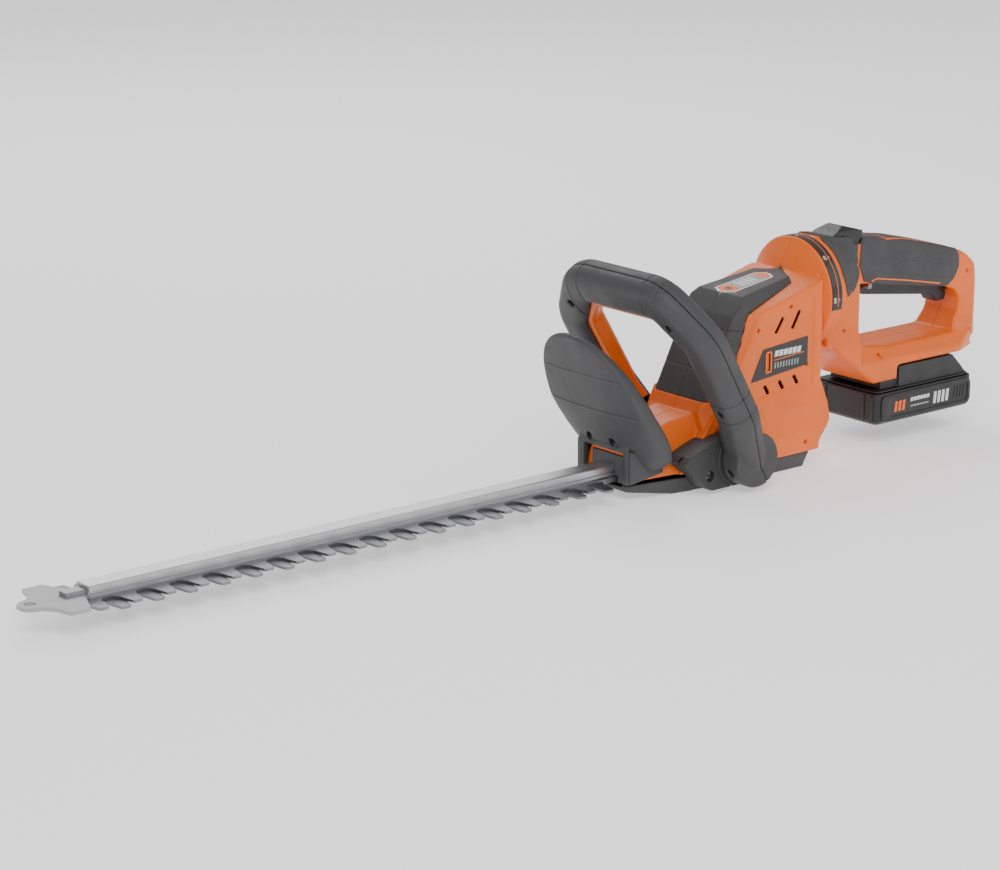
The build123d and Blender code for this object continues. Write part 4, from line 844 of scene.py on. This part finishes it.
def build_grip_trim(grip):
    """Orange lines along the grip and the dotted panel on top of it."""
    grip_tree = tree_of(grip)
    for side, _ in SIDES:
        laid("grip_low_line_%d" % (side + 1), [band(GRIP_LOW_LINE, 1.3)], onto_side(grip_tree, side),
             "rear_handle", "orange_plastic", orange, cell=3.0, thick=0.3)
    on_top = onto_top(grip_tree)
    edge_line = GRIP_EDGE_HALF + [(u, -v) for u, v in GRIP_EDGE_HALF[-2::-1]]
    laid("grip_top_line", outlined(edge_line, 1.2), on_top, "rear_handle", "orange_plastic", orange,
         cell=2.5, thick=0.3)
    laid("grip_top_panel", [TOP_PANEL], on_top, "rear_handle", "grip_rubber", dotted, cell=2.5, thick=0.25)


def build_rear_handle():
    """The orange D handle, with its overmoulds, trigger and swivel lever."""
    rear = softened("rear_handle_shell", ["rear_handle_left", "rear_handle_right"], voxel=1.1, passes=24,
                    close=SEAM_CLOSE, mirrored=True)
    build_housing_screws()
    grip = skin("grip_skin", "grip_overmould", GRIP, rear)
    saddle = skin("saddle_skin", "saddle_overmould", SADDLE, rear)
    engrave(grip, lambda p: to_line(p.x, p.z, SIDE_PANEL) if abs(p.y) > 12 else 99,
            width=1.8, depth=0.5, rounds=1)
    settle(grip, "rear_handle", "grip_rubber")
    settle(saddle, "rear_handle", "grip_rubber")
    engrave(rear, lambda p: abs(p.y) if p.x > SEAM_FROM_X and p.z > SEAM_FROM_Z else 99,
            width=1.4, depth=0.6, rounds=1)
    settle(rear, "rear_handle", "orange_plastic")
    build_grip_trim(grip)
    trigger = softened("trigger_shell", ["trigger"], voxel=0.7, passes=6)
    settle(trigger, "trigger", NODE_SLOT["trigger"])
    lever = softened("swivel_lever_shell", ["swivel_lever"], voxel=0.7, passes=8)
    settle(lever, "swivel_lever", NODE_SLOT["swivel_lever"])


# ------------------------------------------------------------------ battery

BATTERY_BAR = [(188.0, 30.0), (191.4, 30.0), (192.6, 39.5), (189.2, 39.5)]
BATTERY_MARK = [(209.0, 36.6), (212.4, 36.6), (213.0, 40.0), (209.6, 40.0)]
BATTERY_TALL = [(239.0, 29.5), (242.4, 29.5), (243.6, 40.5), (240.2, 40.5)]
BATTERY_RIB = [(266.0, 30.0), (267.6, 30.0), (269.2, 41.0), (267.6, 41.0)]
FRONT_RIBS_Y = (-34.0, -24.0, 24.0, 34.0)


def pill(x0, z0, x1, z1, r):
    """A rectangle with rounded corners on the XZ plane."""
    corners = ((x1 - r, z1 - r, 0), (x0 + r, z1 - r, 90), (x0 + r, z0 + r, 180), (x1 - r, z0 + r, 270))
    spots = []
    for cx, cz, start in corners:
        spots += [(cx + r * cos(radians(start + step * 15)), cz + r * sin(radians(start + step * 15)))
                  for step in range(7)]
    return spots


def build_battery():
    """The battery's case, lid and release button."""
    case = softened("battery_shell", ["battery_case"], voxel=0.8, passes=4)
    settle(case, "battery", NODE_SLOT["battery_case"])
    lid = softened("battery_lid_shell", ["battery_lid"], voxel=0.8, passes=3)
    settle(lid, "battery", NODE_SLOT["battery_lid"])
    button = softened("battery_button_shell", ["battery_button"], voxel=0.6, passes=5)
    settle(button, "battery_button", NODE_SLOT["battery_button"])


def build_battery_side(side, hand):
    """The panel on one side of the battery: its bezel, its print and its ribs."""
    bezel = side_slab("battery_bezel_" + hand, pill(171.0, 22.8, 288.0, 47.0, 6.0), side, 38.5, 41.2)
    cut_by(bezel, side_slab("well", pill(182.0, 26.0, 284.5, 44.0, 3.0), side, 40.4, 45.0))
    settle(rounded(bezel, 0.7), "battery", "black_plastic", black)
    on_case = onto_side(tree_of(bezel), side)
    for part, outlines, slot, look in (
            ("bars", row(BATTERY_BAR, 5.0, 3), "orange_plastic", orange),
            ("marks", row(BATTERY_MARK, 4.2, 6), "label_black", white_print),
            ("rule", [band([(209.0, 32.2), (233.0, 32.2)], 1.3)], "label_black", grey_print),
            ("tall", row(BATTERY_TALL, 5.4, 4), "label_black", white_print)):
        laid("battery_%s_%s" % (part, hand), outlines, on_case, "battery", slot, look,
             cell=3.0, thick=PRINT_THICK)
    for step, rib in enumerate(row(BATTERY_RIB, 4.0, 4)):
        settle(rounded(side_slab("battery_rib_%s_%d" % (hand, step), rib, side, 40.0, 41.0), 0.3),
               "battery", "black_plastic", black)


def build_battery_front():
    """Upright ribs on the battery's front face."""
    for y in FRONT_RIBS_Y:
        post = [(y - 1.2, 22.5), (y + 1.2, 22.5), (y + 1.2, 47.0), (y - 1.2, 47.0)]
        settle(rounded(prism("battery_front_rib_%d" % (y + 40), post, "YZ", 164.2, 167.0), 0.5),
               "battery", "black_plastic", black)


# ------------------------------------------------------------------ blades


def build_blades():
    """The two ground blades and the cast plate at their tip."""
    for name in ("lower_blade", "upper_blade"):
        blade = copied(name, name + "_ground")
        settle(rounded(blade, 0.5, 1), NODE_BODY[name], NODE_SLOT[name])
    settle(rounded(copied("tip_plate", "tip_plate_cast"), 0.8, 3), "housing", "cast_tip")


# ------------------------------------------------------------------ the whole tool

dress_nodes()
housing = build_housing()
top_cover = build_top_cover()
build_base_and_brackets()
for side, hand in SIDES:
    build_nameplate_print(side, hand)
build_roof_label(onto_top(tree_of(housing, top_cover)))
build_scale()
build_shield()
build_guard_details()
build_front_handle()
build_rear_handle()
build_battery()
for side, hand in SIDES:
    build_battery_side(side, hand)
build_battery_front()
build_blades()

add_camera()
add_stage()
